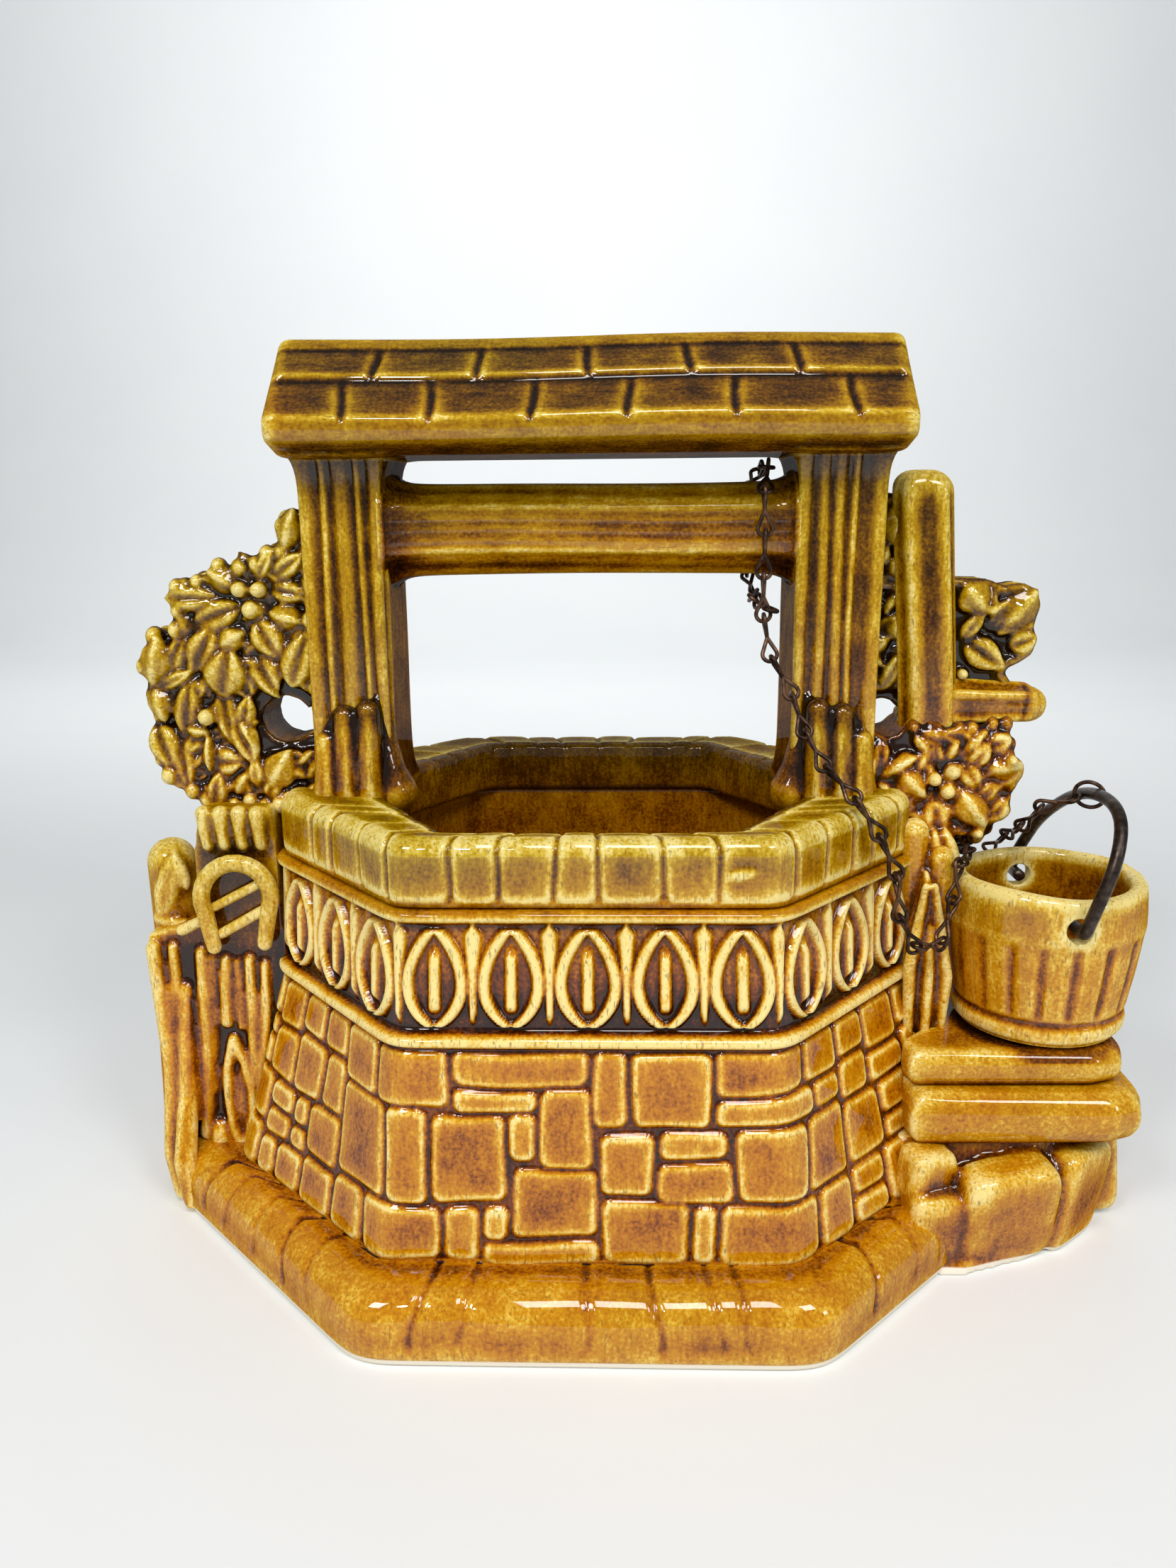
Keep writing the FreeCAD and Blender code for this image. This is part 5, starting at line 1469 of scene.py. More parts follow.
    def build_shrub(self) -> None:
        """The leafy mass beside the left post."""
        clay = Clay("left_shrub", 0.45)
        outline = [
            (-53.6, 140.2), (-58.2, 138.0), (-59.0, 133.0), (-63.5, 130.4), (-71.0, 129.4),
            (-74.6, 126.6), (-79.5, 126.4), (-80.0, 121.5), (-80.2, 118.5), (-84.4, 116.6),
            (-86.9, 110.6), (-85.8, 106.0), (-85.4, 101.5), (-83.0, 98.5), (-86.0, 95.0), (-84.0, 90.0),
            (-79.5, 86.6), (-77.5, 84.0), (-62.0, 83.6), (-56.0, 85.0), (-53.6, 87.5), (-53.6, 97.6),
            (-56.2, 97.4), (-58.0, 96.2), (-60.4, 95.7), (-62.9, 96.5), (-64.6, 98.4), (-65.1, 100.8),
            (-64.3, 103.1), (-62.4, 104.7), (-59.9, 105.1), (-57.5, 104.3), (-55.8, 102.6), (-53.6, 103.4)]
        clay.upright(outline, -self.shrub_half, self.shrub_half)
        fill_leaves(clay, outline, self.shrub_half + 0.3, 3, LEFT_HOLE)
        edge_leaves(clay, outline, self.shrub_half, 13, LEFT_HOLE)
        press_leaves(clay, self.leaves, self.shrub_half + 1.2, 2.4)
        dress_leaves(clay, self.shrub_half, LEAF_GLAZE, "left_foliage")

    def build_stump(self) -> None:
        """The plank-like trunk, with ridges, a knot loop and a narrow neck."""
        clay = Clay("left_trunk", 0.6)
        half = self.stump_half
        outline = [(-86.4, 11.0), (-68.0, 11.0), (-61.5, 50.0), (-62.6, 84.0), (-77.0, 84.0), (-78.6, 76.0),
                   (-79.5, 60.5), (-89.6, 57.6), (-88.6, 46.0), (-87.0, 28.0)]
        clay.upright(outline, -half + 1.2, half - 1.2)
        for sign in FACES:
            face = sign * (half - 1.0)
            for line, radius in self.stump_ridges:
                radii = [radius * part for part in (0.75, 1.0, 1.05)]
                clay.rod([(x, face, z) for x, z in line], radii, 1.25)
            clay.rod([(x, face, z) for x, z in self.knot], [1.15] * len(self.knot), 1.7)
            clay.leaf((-73.2, face, 22.0), 15.0, 3.2, 1.3, 88.0)
            clay.ball((-78.0, face, 13.0), (2.2, 2.6, 4.6))
            for x in self.neck_stubs:
                edge = sign * (half - 0.8)
                clay.rod([(x, edge, 83.0), (x + 0.3, edge, 76.5)], [1.6, 1.1], 1.3)
        for y, x, radius in self.foot_lobes:
            front = max(y, -12.4)
            between = 0.6 * front + 0.4 * y
            clay.rod([(x + 0.6, front, 46.0), (x + 0.2, between, 24.0), (x, y, 11.0), (x + 0.9, y, 2.4)],
                     [0.8 * radius, 0.9 * radius, radius, 0.85 * radius])
        dress(clay.cast(2, 12, 1.7, self.stump_shade), STUMP_GLAZE, ("left_stump",))

    def stump_shade(self, points: Array) -> Array:
        """Painted shade in the deep groove, on the ground round the ridges and the knot, and where the stump
        meets the wall.
        """
        x, y, z = points.T
        # Painted shade in the deep groove
        groove = np.interp(z, [1.6, 54.7], [-83.9, -80.9])
        front = step_up(np.abs(y), self.stump_half - 2.6, self.stump_half - 1.2)
        dark = 0.6 * bell(x - groove, 0.75) * (z < 56.0) * front
        wall = np.interp(z, [9.0, 49.0, 84.0], [-72.0, -64.2, -61.5])
        # Painted shade where the stump meets the well's wall
        dark = dark + 0.9 * step_up(x, wall - 0.6, wall + 1.0)
        # Painted shade on the ground between the ridges and round the knot
        rim = bell(np.abs(y) - self.stump_half + 1.3, 0.7)
        dark = dark + 0.45 * rim * (z > 11.0) * (x > -86.0)
        return -dark

    def build_log(self) -> None:
        """The cut log that stands at the stump's outer side."""
        clay = Clay("left_cut_log", 0.6)
        clay.rod([(-86.6, -4.8, 52.0), (-86.4, -4.8, 70.8)], [4.6, 4.9])
        clay.leaf((-86.0, -9.2, 67.0), 14.0, 5.0, 1.5, 74.0, 0.7, 0.3)
        clay.leaf((-83.2, -8.8, 70.0), 9.0, 2.6, 1.4, 105.0)
        clay.leaf((-88.2, -8.0, 62.5), 9.0, 2.6, 1.4, 85.0)
        clay.rod([(-88.7, -8.2, 59.6), (-82.5, -9.8, 58.2)], [1.3, 1.4])
        dress(clay.cast(2, 12, 1.8), STUMP_GLAZE, ("left_log",))

    def build_horseshoe(self) -> None:
        """The horseshoe on the stump's neck, with the bars behind it."""
        clay = Clay("left_horseshoe", 0.5)
        face = -15.0
        x, z = self.shoe_middle
        wide, tall = self.shoe_half
        shoe = [(-75.4, face - 0.1, 56.0)]
        for angle in range(205, -26, -15):
            turn = math.radians(angle)
            shoe.append((x + wide * math.cos(turn) + 0.3 * math.sin(turn), face - 0.2,
                         z + tall * math.sin(turn)))
        shoe.append((-65.2, face - 0.1, 56.8))
        clay.rod(shoe, [1.5] + [1.75] * (len(shoe) - 2) + [1.5], 0.9)
        dress(clay.cast(1, 8, 2.0), STUMP_GLAZE, ("horseshoe",))
        bars = Clay("left_bars", 0.5)
        for start, end, radii in self.bars:
            bars.rod([start, end], list(radii))
        dress(bars.cast(1, 8, 2.0), STUMP_GLAZE, ("left_rail",))


# Scenery at the right: pole, rail, leaves and stalk

@dataclass
class RightScenery:
    """The pole, its rail, the leaves between and under them, and the stalk by the bucket."""

    upper: Tuple[Leaf, ...] = (
        (73.4, 122.6, 6.2, 4.8, -50), (73.0, 117.7, 5.4, 2.3, 52), (77.5, 118.9, 5.2, 2.0, 58),
        (81.6, 120.5, 8.2, 5.4, 50), (82.8, 114.5, 4.6, 3.6, 20), (75.5, 112.1, 7.6, 4.2, -35),
        (71.6, 108.3, 2.2, 2.2, 0))
    lower: Tuple[Leaf, ...] = (
        (73.4, 96.3, 4.6, 1.6, 45), (74.3, 93.5, 4.6, 2.9, 60), (78.0, 95.9, 3.9, 2.8, 20),
        (79.0, 91.1, 6.0, 4.2, 10), (80.2, 92.6, 2.1, 2.1, 0), (65.8, 88.9, 2.7, 2.7, 0),
        (69.3, 90.2, 2.9, 2.9, 0), (68.5, 86.4, 3.0, 3.0, 0), (72.9, 89.3, 4.3, 2.9, -60),
        (61.7, 88.0, 6.1, 3.4, -45), (59.7, 85.2, 7.2, 2.5, -50), (66.7, 80.2, 8.4, 4.0, -85),
        (73.5, 82.9, 7.6, 4.3, -55), (76.2, 86.2, 4.0, 2.9, 60), (78.6, 82.4, 4.4, 3.2, 60),
        (58.8, 80.3, 4.4, 4.0, 0), (62.6, 78.3, 2.2, 2.2, 0), (74.8, 78.0, 2.2, 2.2, 0),
        (59.3, 91.5, 6.1, 2.5, 30))
    # Strokes that run down from the flower: x, z, length, width, turn
    fronds: Tuple[Leaf, ...] = (
        (60.6, 75.5, 9.0, 2.4, -108), (63.4, 72.6, 13.0, 2.8, -98), (66.6, 73.0, 13.0, 3.0, -86),
        (69.8, 74.6, 10.5, 2.6, -70), (58.8, 78.5, 6.0, 2.0, -125))
    ivy: Tuple[Leaf, ...] = (
        (57.8, 136.9, 6.9, 4.1, 90), (58.5, 129.3, 4.3, 2.1, 80), (58.6, 124.0, 3.2, 2.2, 0),
        (58.7, 117.1, 4.4, 3.3, 90), (58.4, 109.0, 7.3, 2.2, 65), (60.9, 108.3, 2.6, 1.5, 80))
    pole_foot: Point = (66.2, -3.0, 89.0)
    pole_length: float = 58.0
    pole_radius: float = 6.0
    pole_lean: float = 4.2
    # Ridges down the pole: the angle of each, its half width and its rise
    pole_ridges: Tuple[Point, ...] = (
        (-2.2, 0.3, 1.0), (-0.95, 0.28, 1.0), (-2.9, 0.2, 0.6), (-0.25, 0.2, 0.6), (0.8, 0.28, 0.9),
        (2.3, 0.28, 0.9))
    # The rail and the ridges along it: its two ends, and their radii
    rail: Tuple[Tuple[Point, Point, Flat], ...] = (
        ((70.0, -4.2, 102.7), (84.6, -4.2, 102.4), (3.9, 3.5)),
        ((70.0, -7.4, 100.0), (84.0, -7.0, 100.4), (1.0, 0.9)),
        ((70.0, -7.6, 104.8), (84.5, -6.8, 104.3), (1.1, 1.0)),
        ((70.0, -3.6, 106.6), (84.0, -3.6, 105.8), (1.0, 0.9)))
    # Veins of the lobed leaf, from the middle plane outwards
    veins: Tuple[Tuple[Point, Point], ...] = (
        ((77.0, 3.8, 125.0), (76.4, 5.2, 120.6)), ((72.0, 5.4, 123.4), (76.2, 5.2, 120.4)),
        ((76.2, 5.2, 120.4), (79.0, 4.6, 122.0)), ((78.4, 4.2, 116.3), (84.0, 4.6, 117.6)))

    def build(self) -> None:
        """Make the six pieces."""
        self.build_pole()
        self.build_rail()
        self.build_ivy()
        self.build_leaf()
        self.build_flower()
        self.build_stalk()

    def build_pole(self) -> None:
        """The round-topped pole, with ridges down its front."""
        length, radius, lean = self.pole_length, self.pole_radius, math.radians(self.pole_lean)
        rows = [(shift, radius) for shift in np.arange(0.0, length - 4.0, 1.2)]
        rows += [(length - 4.2 + 4.2 * rise, radius - 4.4 * inward)
                 for inward, rise in bend_steps(range(0, 90, 12))]
        rows.append((length, 0.8))
        around = full_turn(84)
        points = np.zeros((len(rows), len(around), 3))
        for row, (shift, wide) in enumerate(rows):
            centre = Vector(self.pole_foot) + Vector((-math.sin(lean), 0.0, math.cos(lean))) * shift
            points[row, :, 0] = centre.x + wide * np.cos(around)
            points[row, :, 1] = centre.y + wide * np.sin(around)
            points[row, :, 2] = centre.z
        skin = Skin(points)
        relief = np.zeros(points.shape[:2])
        up = points[:, :, 2]
        for middle, width, rise in self.pole_ridges:
            turn = (around[None, :] - middle + 0.04 * np.sin(0.1 * up) + math.pi) % (2 * math.pi) - math.pi
            relief = relief + rise * bell(turn, width)
        fade = step_down(up, 141.0, 147.0)
        skin.push((relief - 0.6) * fade - 0.2)
        made = skin.build("right_pole_ribs")
        facing = np.abs(np.sin(around))[None, :]
        tint = 0.2 * (relief - 0.4) - 0.25 * step_up(facing, 0.95, 0.99) * fade
        tint = tint + 0.15 * (1.0 - fade)
        lay_relief(made, 12, 1.9, tint.ravel())
        dress(made, WOOD_GLAZE, ("right_pole",))

    def build_rail(self) -> None:
        """The stub of rail that sticks out past the pole."""
        clay = Clay("right_rail_stub", 0.55)
        for start, end, radii in self.rail:
            clay.rod([start, end], list(radii))
        dress(clay.cast(2, 10, 2.2, self.painted_slit_shade), RAIL_GLAZE, ("right_rail",))

    def painted_slit_shade(self, points: Array) -> Array:
        """A dark line of painted shade where a slit lies near the rail's end."""
        x, _, z = points.T
        return -0.9 * bell(x - 83.0 - 0.15 * (z - 102.0), 0.5)

    def build_ivy(self) -> None:
        """Small leaves in the dark strip between the post and the pole."""
        clay = Clay("right_ivy_strip", 0.5)
        outline = [(53.6, 101.6), (55.0, 102.7), (56.9, 103.3), (58.9, 102.8), (60.4, 101.2), (62.5, 100.4),
                   (67.4, 101.8), (64.5, 140.5), (59.0, 139.5), (57.0, 142.5), (53.6, 143.0)]
        clay.upright(outline, -2.0, 2.0)
        fill_leaves(clay, outline, 2.2, 5, RIGHT_HOLE)
        press_leaves(clay, self.ivy, 2.8, 2.0)
        dress_leaves(clay, 2.0, LEAF_GLAZE, "right_ivy")

    def build_leaf(self) -> None:
        """The lobed leaf above the rail."""
        clay = Clay("right_upper_leaf", 0.5)
        edge = [(81.0, 106.0), (79.2, 108.6), (80.2, 110.4), (82.4, 111.4), (84.4, 112.8), (85.1, 114.9),
                (84.2, 117.2), (84.6, 119.2), (85.3, 121.6), (84.5, 123.8), (82.6, 124.8), (79.0, 124.3),
                (75.7, 125.6), (71.5, 125.8), (66.5, 126.0)]
        clay.upright([(66.5, 105.5)] + edge, -3.2, 3.2)
        press_leaves(clay, self.upper, 3.8, 2.0)
        for depth in (-3.5, -1.2, 1.2, 3.5):
            clay.rod([(x - 0.5, depth, z - 0.2) for x, z in edge], [1.1] * len(edge))
        for sign in FACES:
            for vein in self.veins:
                clay.rod([(x, sign * y, z) for x, y, z in vein], [0.7, 0.55])
        dress_leaves(clay, 3.2, LEAF_GLAZE, "right_leaf")

    def build_flower(self) -> None:
        """The flower and leaves over the coping's right side."""
        clay = Clay("right_flower", 0.55)
        outline = [
            (53.4, 86.0), (53.6, 98.4), (55.0, 97.2), (56.9, 96.6), (58.9, 97.1), (60.4, 98.6),
            (62.0, 99.2), (67.0, 98.6), (79.5, 98.6), (80.5, 95.5), (82.4, 91.2), (80.4, 87.4),
            (80.0, 82.0), (77.5, 78.4), (73.0, 76.0), (66.0, 74.6), (60.5, 75.0), (58.5, 80.0)]
        clay.upright(outline, -8.4, 6.8)
        fill_leaves(clay, outline, 8.7, 8, RIGHT_HOLE)
        edge_leaves(clay, outline, 7.0, 18, RIGHT_HOLE)
        press_leaves(clay, self.lower, 9.4, 2.4)
        for x, z, length, width, turn in self.fronds:
            clay.leaf((x, -11.4, z), length, width, 2.2, turn, 0.8)
        for turn in (-35, -10, 20, 150, 185, 215):
            angle = math.radians(turn)
            clay.leaf((67.6 + 6.4 * math.cos(angle), 8.2, 88.0 + 6.0 * math.sin(angle)), 6.5, 3.2, 2.2, turn)
        dress_leaves(clay, 8.3, FLOWER_GLAZE, "right_foliage", 0.9)

    def build_stalk(self) -> None:
        """The long pointed leaf between the well and the bucket."""
        clay = Clay("right_long_leaf", 0.5)
        clay.leaf((64.4, -16.5, 53.0), 40.0, 8.6, 3.2, 92.0, 0.8)
        clay.rod([(61.4, -18.6, 36.0), (60.8, -19.6, 54.0), (63.2, -18.8, 70.0)], [0.9, 1.25, 0.7])
        clay.rod([(67.4, -18.2, 36.0), (68.0, -19.2, 52.0), (65.0, -18.8, 70.0)], [0.9, 1.25, 0.7])
        clay.rod([(64.4, -19.4, 38.0), (64.4, -20.0, 52.0), (64.4, -19.2, 62.0)], [0.9, 1.0, 0.6])
        clay.rod([(66.4, -15.0, 40.0), (67.0, -14.0, 74.0)], [2.6, 2.6])
        clay.rod([(62.2, -13.2, 60.0), (62.0, -12.8, 79.0)], [2.6, 2.8])
        dress(clay.cast(1, 7, 2.2), FLOWER_GLAZE, ("right_stalk",))


# The bench and the bucket

@dataclass
class Bench:
    """The rocks, the two slabs on them and the staved bucket."""

    bucket_x: float = 87.3
    bucket_y: float = -14.2
    bucket_low: float = 41.2
    hole_height: float = 66.0
    hole_radius: float = 2.4
    staves: int = 18
    profile_step: float = 0.5
    # The bucket's section, from its foot's middle up the outside and down the inside: radius and height
    profile: Tuple[Flat, ...] = (
        (0.5, 0.0), (13.5, 0.0), (15.2, 0.5), (15.6, 1.8), (16.0, 4.6), (16.6, 8.6), (17.3, 13.0),
        (17.9, 17.5), (18.3, 21.0), (18.2, 24.5), (18.0, 27.5), (17.8, 29.4), (17.2, 30.3), (16.0, 30.6),
        (15.0, 30.1), (14.7, 28.8), (15.0, 24.5), (15.1, 20.5), (14.5, 14.0), (13.3, 8.0), (12.0, 5.0),
        (9.0, 4.1), (0.5, 4.0))
    # The heap's outline on the ground and at its top
    heap_low: Tuple[Flat, ...] = (
        (58.0, -37.5), (69.5, -38.0), (83.0, -33.0), (91.5, -26.0), (99.4, -19.0), (103.2, -10.5),
        (103.2, 6.5), (95.5, 10.4), (68.5, 10.4), (68.5, -16.5), (58.0, -27.0))
    heap_high: Tuple[Flat, ...] = (
        (58.0, -29.4), (71.5, -29.4), (85.0, -28.6), (90.5, -26.0), (97.0, -18.5), (100.2, -10.5),
        (100.2, 5.5), (94.5, 6.6), (68.5, 6.6), (68.5, -16.5), (58.0, -27.0))
    # Stones of the heap: middle, half sizes and turns of each
    rocks: Tuple[Tuple[Point, Point, Point], ...] = (
        ((63.5, -34.5, 8.5), (5.6, 4.2, 8.6), (10, 0, 12)),
        ((62.5, -33.2, 18.5), (4.8, 3.8, 5.2), (0, 6, 20)),
        ((77.5, -32.5, 10.5), (10.0, 4.4, 10.8), (12, -3, 14)),
        ((92.5, -24.8, 10.0), (8.2, 4.2, 11.0), (8, 4, 42)),
        ((100.6, -12.0, 11.5), (4.0, 8.0, 11.2), (0, -6, 4)),
        ((100.4, 2.5, 12.0), (3.8, 5.6, 10.6), (0, -6, -6)),
        ((88.0, 7.0, 11.0), (8.6, 4.0, 11.0), (-8, 0, 0)),
        ((74.0, 7.2, 11.5), (6.0, 3.8, 11.0), (-8, 0, 4)))

    def build(self) -> None:
        """Make the four pieces."""
        self.build_rocks()
        self.build_slab("bench_lower_board", "bench_lower_slab", 23.0, 34.0, 0.0)
        self.build_slab("bench_upper_board", "bench_upper_slab", 34.0, 41.2, 3.2)
        self.build_bucket()

    def build_rocks(self) -> None:
        """The heap of rocks under the bench."""
        clay = Clay("bench_rock_heap", 0.7)
        clay.prism([(x, y, 0.0) for x, y in self.heap_low], [(x, y, 24.0) for x, y in self.heap_high])
        for centre, size, turn in self.rocks:
            clay.block(centre, size, turn)
        dress(clay.cast(2, 14, 1.4), ROCK_GLAZE, ("bench_rocks",))

    def build_slab(self, name: str, node: str, low: float, high: float, back_set: float) -> None:
        """A thick slab with soft edges.

        Args:
            name: the piece's name.
            node: the solid that it stands for.
            low: its underside.
            high: its top.
            back_set: how far it stands back from the lower slab's edge.
        """
        clay = Clay(name, 0.6)
        front, back, right = -33.4 + back_set, 10.0 - back_set, 104.2 - back_set
        corner = 7.0
        loop = np.array([
            (59.0, front), (right - corner, front), (right - 2.0, front + 2.0), (right, front + corner),
            (right, back - corner), (right - 2.0, back - 2.0), (right - corner, back), (66.5, back),
            (66.5, -16.5), (59.0, -24.0)])
        middle, half = 0.5 * (low + high), 0.5 * (high - low)
        away = loop - loop.mean(axis=0)
        away = away / np.linalg.norm(away, axis=1, keepdims=True)
        away[-2:] = 0.0
        bulge = 0.95 * half
        levels = [(loop - away * bulge * (1.0 - math.cos(angle)), middle + half * math.sin(angle))
                  for angle in np.radians(np.linspace(-90.0, 90.0, 9))]
        for (first, under), (second, over) in zip(levels, levels[1:]):
            clay.prism([(x, y, under) for x, y in first], [(x, y, over) for x, y in second])

        def slab_painted_shade(points: Array) -> Array:
            """Painted shade along each slab's underside, and a painted shadow round the bucket's foot on the
            upper slab.
            """
            shade = -0.9 * step_down(points[:, 2], low + 0.5, low + 2.2)
            reach = np.hypot(points[:, 0] - self.bucket_x, points[:, 1] - self.bucket_y)
            return shade - 0.8 * step_down(reach, 15.5, 18.0) * (points[:, 2] > 39.0)
        dress(clay.cast(4, 14, 1.3, slab_painted_shade), BENCH_GLAZE, (node,))

    def build_bucket(self) -> None:
        """The hollow bucket, with staves, two hoops and an uneven rim."""
        radius, height = self.fine_profile()
        around = full_turn(220)
        skin = Skin(grid(radius[:, None] * np.cos(around), radius[:, None] * np.sin(around), height[:, None]))
        outside = (np.arange(len(radius)) <= int(np.argmax(height)))[:, None]
        up = height[:, None] + 0.0 * around[None, :]
        phase = (around * self.staves / (2.0 * math.pi) + 0.35 + 0.12 * np.sin(3.0 * around)) % 1.0
        near = np.minimum(phase, 1.0 - phase) * 2.0 * math.pi * 17.5 / self.staves
        in_staves = step_up(up, 5.6, 7.2) * step_down(up, 19.5, 22.0)
        groove = bell(near, 0.9)[None, :] * in_staves
        hoops = 0.5 * bell(up - 2.9, 1.5, 4) + 0.25 * step_up(up, 20.5, 22.5)
        strength = 0.42 + 0.3 * np.cos(around + 0.6)[None, :]
        seam = 0.45 * bell(up - 5.3, 0.6) + 0.3 * bell(up - 1.0, 0.5)
        relief = (hoops - strength * groove - seam - 0.25) * outside
        relief = relief + 0.2 * wobble(around[None, :] * 9.0, up * 0.6, 8.0)
        skin.push(relief)
        rim = step_up(up, 24.0, 30.0)
        wave = 0.3 * np.sin(2.0 * around + 0.6) + 0.1 * np.sin(5.0 * around)
        skin.points[:, :, 2] += rim * wave[None, :] - 0.1 * rim
        skin.points += np.array([self.bucket_x, self.bucket_y, self.bucket_low])
        made = skin.build("staved_bucket")
        self.drill(made)
        place = mesh_points(made.data)
        reach = np.hypot(place[:, 0] - self.bucket_x, place[:, 1] - self.bucket_y)
        level = place[:, 2] - self.bucket_low
        # Painted shade deep inside the bucket
        inside = (reach < 14.9) * step_down(level, 8.0, 24.0)
        tint = 0.2 * step_up(level, 26.0, 30.0) - 0.1 * inside
        lay_relief(made, 12, 2.0, tint)
        dress(made, BUCKET_GLAZE, ("bucket",))

    def fine_profile(self) -> Pair:
        """Radii and heights of points spread evenly along the bucket's profile."""
        line = np.array(self.profile)
        run = np.concatenate([[0.0], np.cumsum(np.linalg.norm(np.diff(line, axis=0), axis=1))])
        places = np.arange(0.0, run[-1], self.profile_step)
        return np.interp(places, run, line[:, 0]), np.interp(places, run, line[:, 1])

    def drill(self, made: bpy.types.Object) -> None:
        """Cut the two holes for the bail."""
        work = bmesh.new()
        matrix = Matrix.Translation(Vector((self.bucket_x, self.bucket_y, self.hole_height)) * MM)
        matrix = matrix @ Matrix.Rotation(math.pi / 2, 4, "X")
        bmesh.ops.create_cone(work, cap_ends=True, segments=28, radius1=self.hole_radius * MM,
                              radius2=self.hole_radius * MM, depth=60.0 * MM, matrix=matrix)
        mesh = bpy.data.meshes.new("drill")
        work.to_mesh(mesh)
        work.free()
        tool = show(bpy.data.objects.new("drill", mesh))
        cut = made.modifiers.new("holes", "BOOLEAN")
        cut.operation = "DIFFERENCE"
        cut.solver = "EXACT"
        cut.object = tool
        shade_smooth(applied(made))
        bpy.data.objects.remove(tool)


# Chain and bail; the chain keeps its solids

@dataclass
class Metalwork:
    """The bail, its ring and the chain."""

    pivot: Point = (87.3, -14.2, 66.0)
    lean: float = 18.5
    wire: float = 1.15
    # The bail's line from end to end: y along the pivots, and the height above them
    path: Tuple[Flat, ...] = (
        (-14.4, 0.0), (-17.6, 0.0), (-20.0, 0.0), (-20.0, 2.5), (-20.0, 14.9), (-13.2, 22.9), (3.0, 22.4),
        (16.2, 13.8), (20.0, 5.0), (20.0, 2.0), (20.0, 0.0), (17.6, 0.0), (14.4, 0.0))

    def build(self) -> None:
        """Make the bail, and give every link its patina."""
        self.build_bail()
        for name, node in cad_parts.items():
            if "link" in name or name == "bail_ring":
                node.data.materials.clear()
                node.data.materials.append(finish_of(CHAIN_WIRE))
                LOG.info("%s: carried over", name)

    def build_bail(self) -> None:
        """The bucket's handle, a bent wire that swings in its two holes."""
        line = np.array(self.path)
        for _ in range(4):
            near, far = 0.75 * line[:-1] + 0.25 * line[1:], 0.25 * line[:-1] + 0.75 * line[1:]
            middle = np.stack([near, far], axis=1).reshape(-1, 2)
            line = np.vstack([line[:1], middle[1:-1], line[-1:]])
        along = np.gradient(line, axis=0)
        along = along / np.linalg.norm(along, axis=1, keepdims=True)
        around = full_turn(24)
        turn = math.radians(self.lean)
        across, upward = np.cos(around)[None, :], np.sin(around)[None, :]
        flat = self.wire * across
        side = line[:, 0:1] + self.wire * upward * along[:, 1:2]
        rise = line[:, 1:2] - self.wire * upward * along[:, 0:1]
        x, y, z = self.pivot
        points = grid(x + rise * math.sin(turn) + flat * math.cos(turn), y + side,
                      z + rise * math.cos(turn) - flat * math.sin(turn))
        made = Skin(points).build("bail_wire_loop")
        made.data.materials.append(finish_of(BAIL_WIRE))
        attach(made, "bail")
        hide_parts("bucket_bail")
        LOG.info("%s: %d points for bucket_bail", made.name, len(made.data.vertices))


# Studio: floor, light and camera

# What most lights point at, in metres
WELL_MIDDLE: Point = (0.0, 0.0, 0.08)


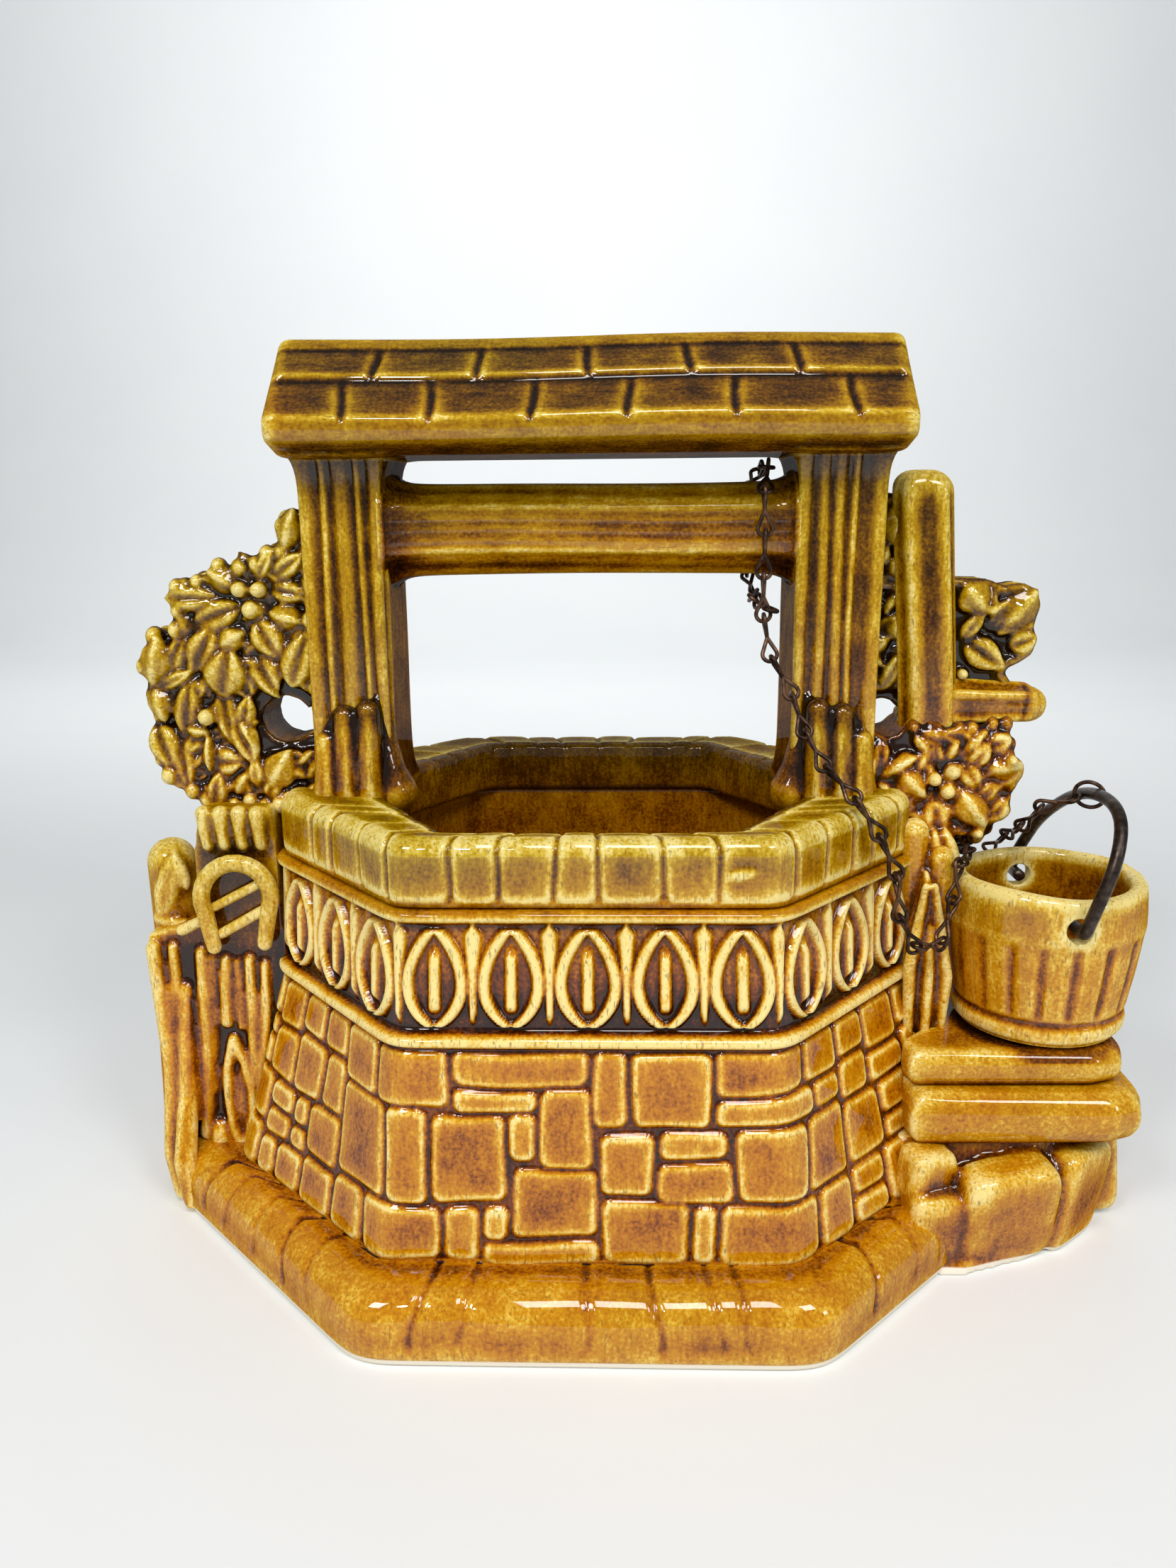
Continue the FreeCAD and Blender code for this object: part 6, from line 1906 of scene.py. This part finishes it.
@dataclass
class Studio:
    """A pale sweep, soft light and the photograph's camera."""

    location: Point = (6.12, -227.62, 139.67)
    heading: Flat = (-0.0321, 0.9995)
    pitch: float = -13.36
    roll: float = -0.55
    lens: float = 26.37
    # The floor's bend in metres: how far back it starts, its radius, its top and half of its width
    bend_from: float = 0.9
    bend_radius: float = 0.5
    floor_top: float = 2.6
    floor_half: float = 3.0
    # Lights: name, place and aim in metres, side in metres and power in watts
    lamps: Tuple[Tuple[str, Point, Point, float, float], ...] = (
        ("overhead", (0.05, -0.6, 0.9), WELL_MIDDLE, 0.3, 3.8),
        ("front_left", (-0.5, -0.72, 0.8), WELL_MIDDLE, 0.24, 3.4),
        ("front_right", (0.46, -0.62, 0.8), WELL_MIDDLE, 0.22, 2.2),
        ("side_right", (0.8, -0.6, 0.45), WELL_MIDDLE, 0.15, 0.8),
        ("spark", (-0.2, -0.75, 0.62), WELL_MIDDLE, 0.06, 0.9),
        ("back", (-0.1, 0.5, 0.85), (0.0, 1.6, 0.45), 0.9, 6.8))

    def build(self) -> None:
        """Set up the floor, the lights and the camera."""
        self.build_floor()
        self.build_lights()
        self.build_camera()

    def build_floor(self) -> None:
        """A pale floor that curves up behind."""
        start, radius, half = self.bend_from, self.bend_radius, self.floor_half
        profile = [(-2.5, 0.0), (start, 0.0)]
        profile += [(start + radius * ahead, radius * rise) for rise, ahead in bend_steps(range(10, 91, 10))]
        profile.append((start + radius, self.floor_top))
        points, faces = [], []
        for index, (y, z) in enumerate(profile):
            points += [(-half, y, z - 0.0002), (half, y, z - 0.0002)]
            if index:
                faces.append((2 * index - 2, 2 * index - 1, 2 * index + 1, 2 * index))
        mesh = bpy.data.meshes.new("floor")
        mesh.from_pydata(points, [], faces)
        shade_smooth(mesh)
        floor = show(bpy.data.objects.new("floor", mesh))
        board = Board("pale_floor")
        cloth = board.noise(180.0, 2.0)
        board.finish({"Base Color": board.mix(tone(236, 239, 240), tone(243, 246, 246), cloth),
                      "Roughness": 0.6})
        mesh.materials.append(board.material)

    def build_lights(self) -> None:
        """A broad light overhead, two at the front, small ones for highlights, and one on the backdrop."""
        bpy.context.scene.view_settings.view_transform = "Standard"
        world = bpy.data.worlds.new("room")
        bpy.context.scene.world = world
        world.use_nodes = True
        ground = world.node_tree.nodes["Background"]
        ground.inputs["Color"].default_value = (0.95, 0.97, 1.0, 1.0)
        ground.inputs["Strength"].default_value = 0.24
        for name, spot, aim, size, power in self.lamps:
            data = bpy.data.lights.new(name, "AREA")
            data.size, data.energy = size, power
            lamp = show(bpy.data.objects.new(name, data))
            lamp.location = spot
            lamp.rotation_euler = (Vector(aim) - Vector(spot)).to_track_quat("-Z", "Y").to_euler()

    def build_camera(self) -> None:
        """The camera where the photographer stood."""
        data = bpy.data.cameras.new("camera")
        data.lens = self.lens
        data.sensor_width = 36.0
        data.clip_start = 0.01
        camera = show(bpy.data.objects.new("camera", data))
        pitch = math.radians(self.pitch)
        ahead = Vector((self.heading[0], self.heading[1], 0.0)).normalized() * math.cos(pitch)
        ahead.z = math.sin(pitch)
        turn = ahead.to_track_quat("-Z", "Y").to_matrix().to_4x4()
        camera.matrix_world = (Matrix.Translation(Vector(self.location) * MM) @ turn
                               @ Matrix.Rotation(math.radians(self.roll), 4, "Z"))
        bpy.context.scene.camera = camera


def keep_sizes() -> None:
    """Bring the view layer up to date."""
    bpy.context.view_layer.update()


def main() -> None:
    """Build every sub-assembly in order."""
    logging.basicConfig(level=logging.INFO, format="%(message)s")
    for assembly in (Well(), Timber(), Roof(), LeftScenery(), RightScenery(), Bench(), Metalwork(), Studio()):
        assembly.build()
    keep_sizes()


if __name__ == "__main__":
    main()
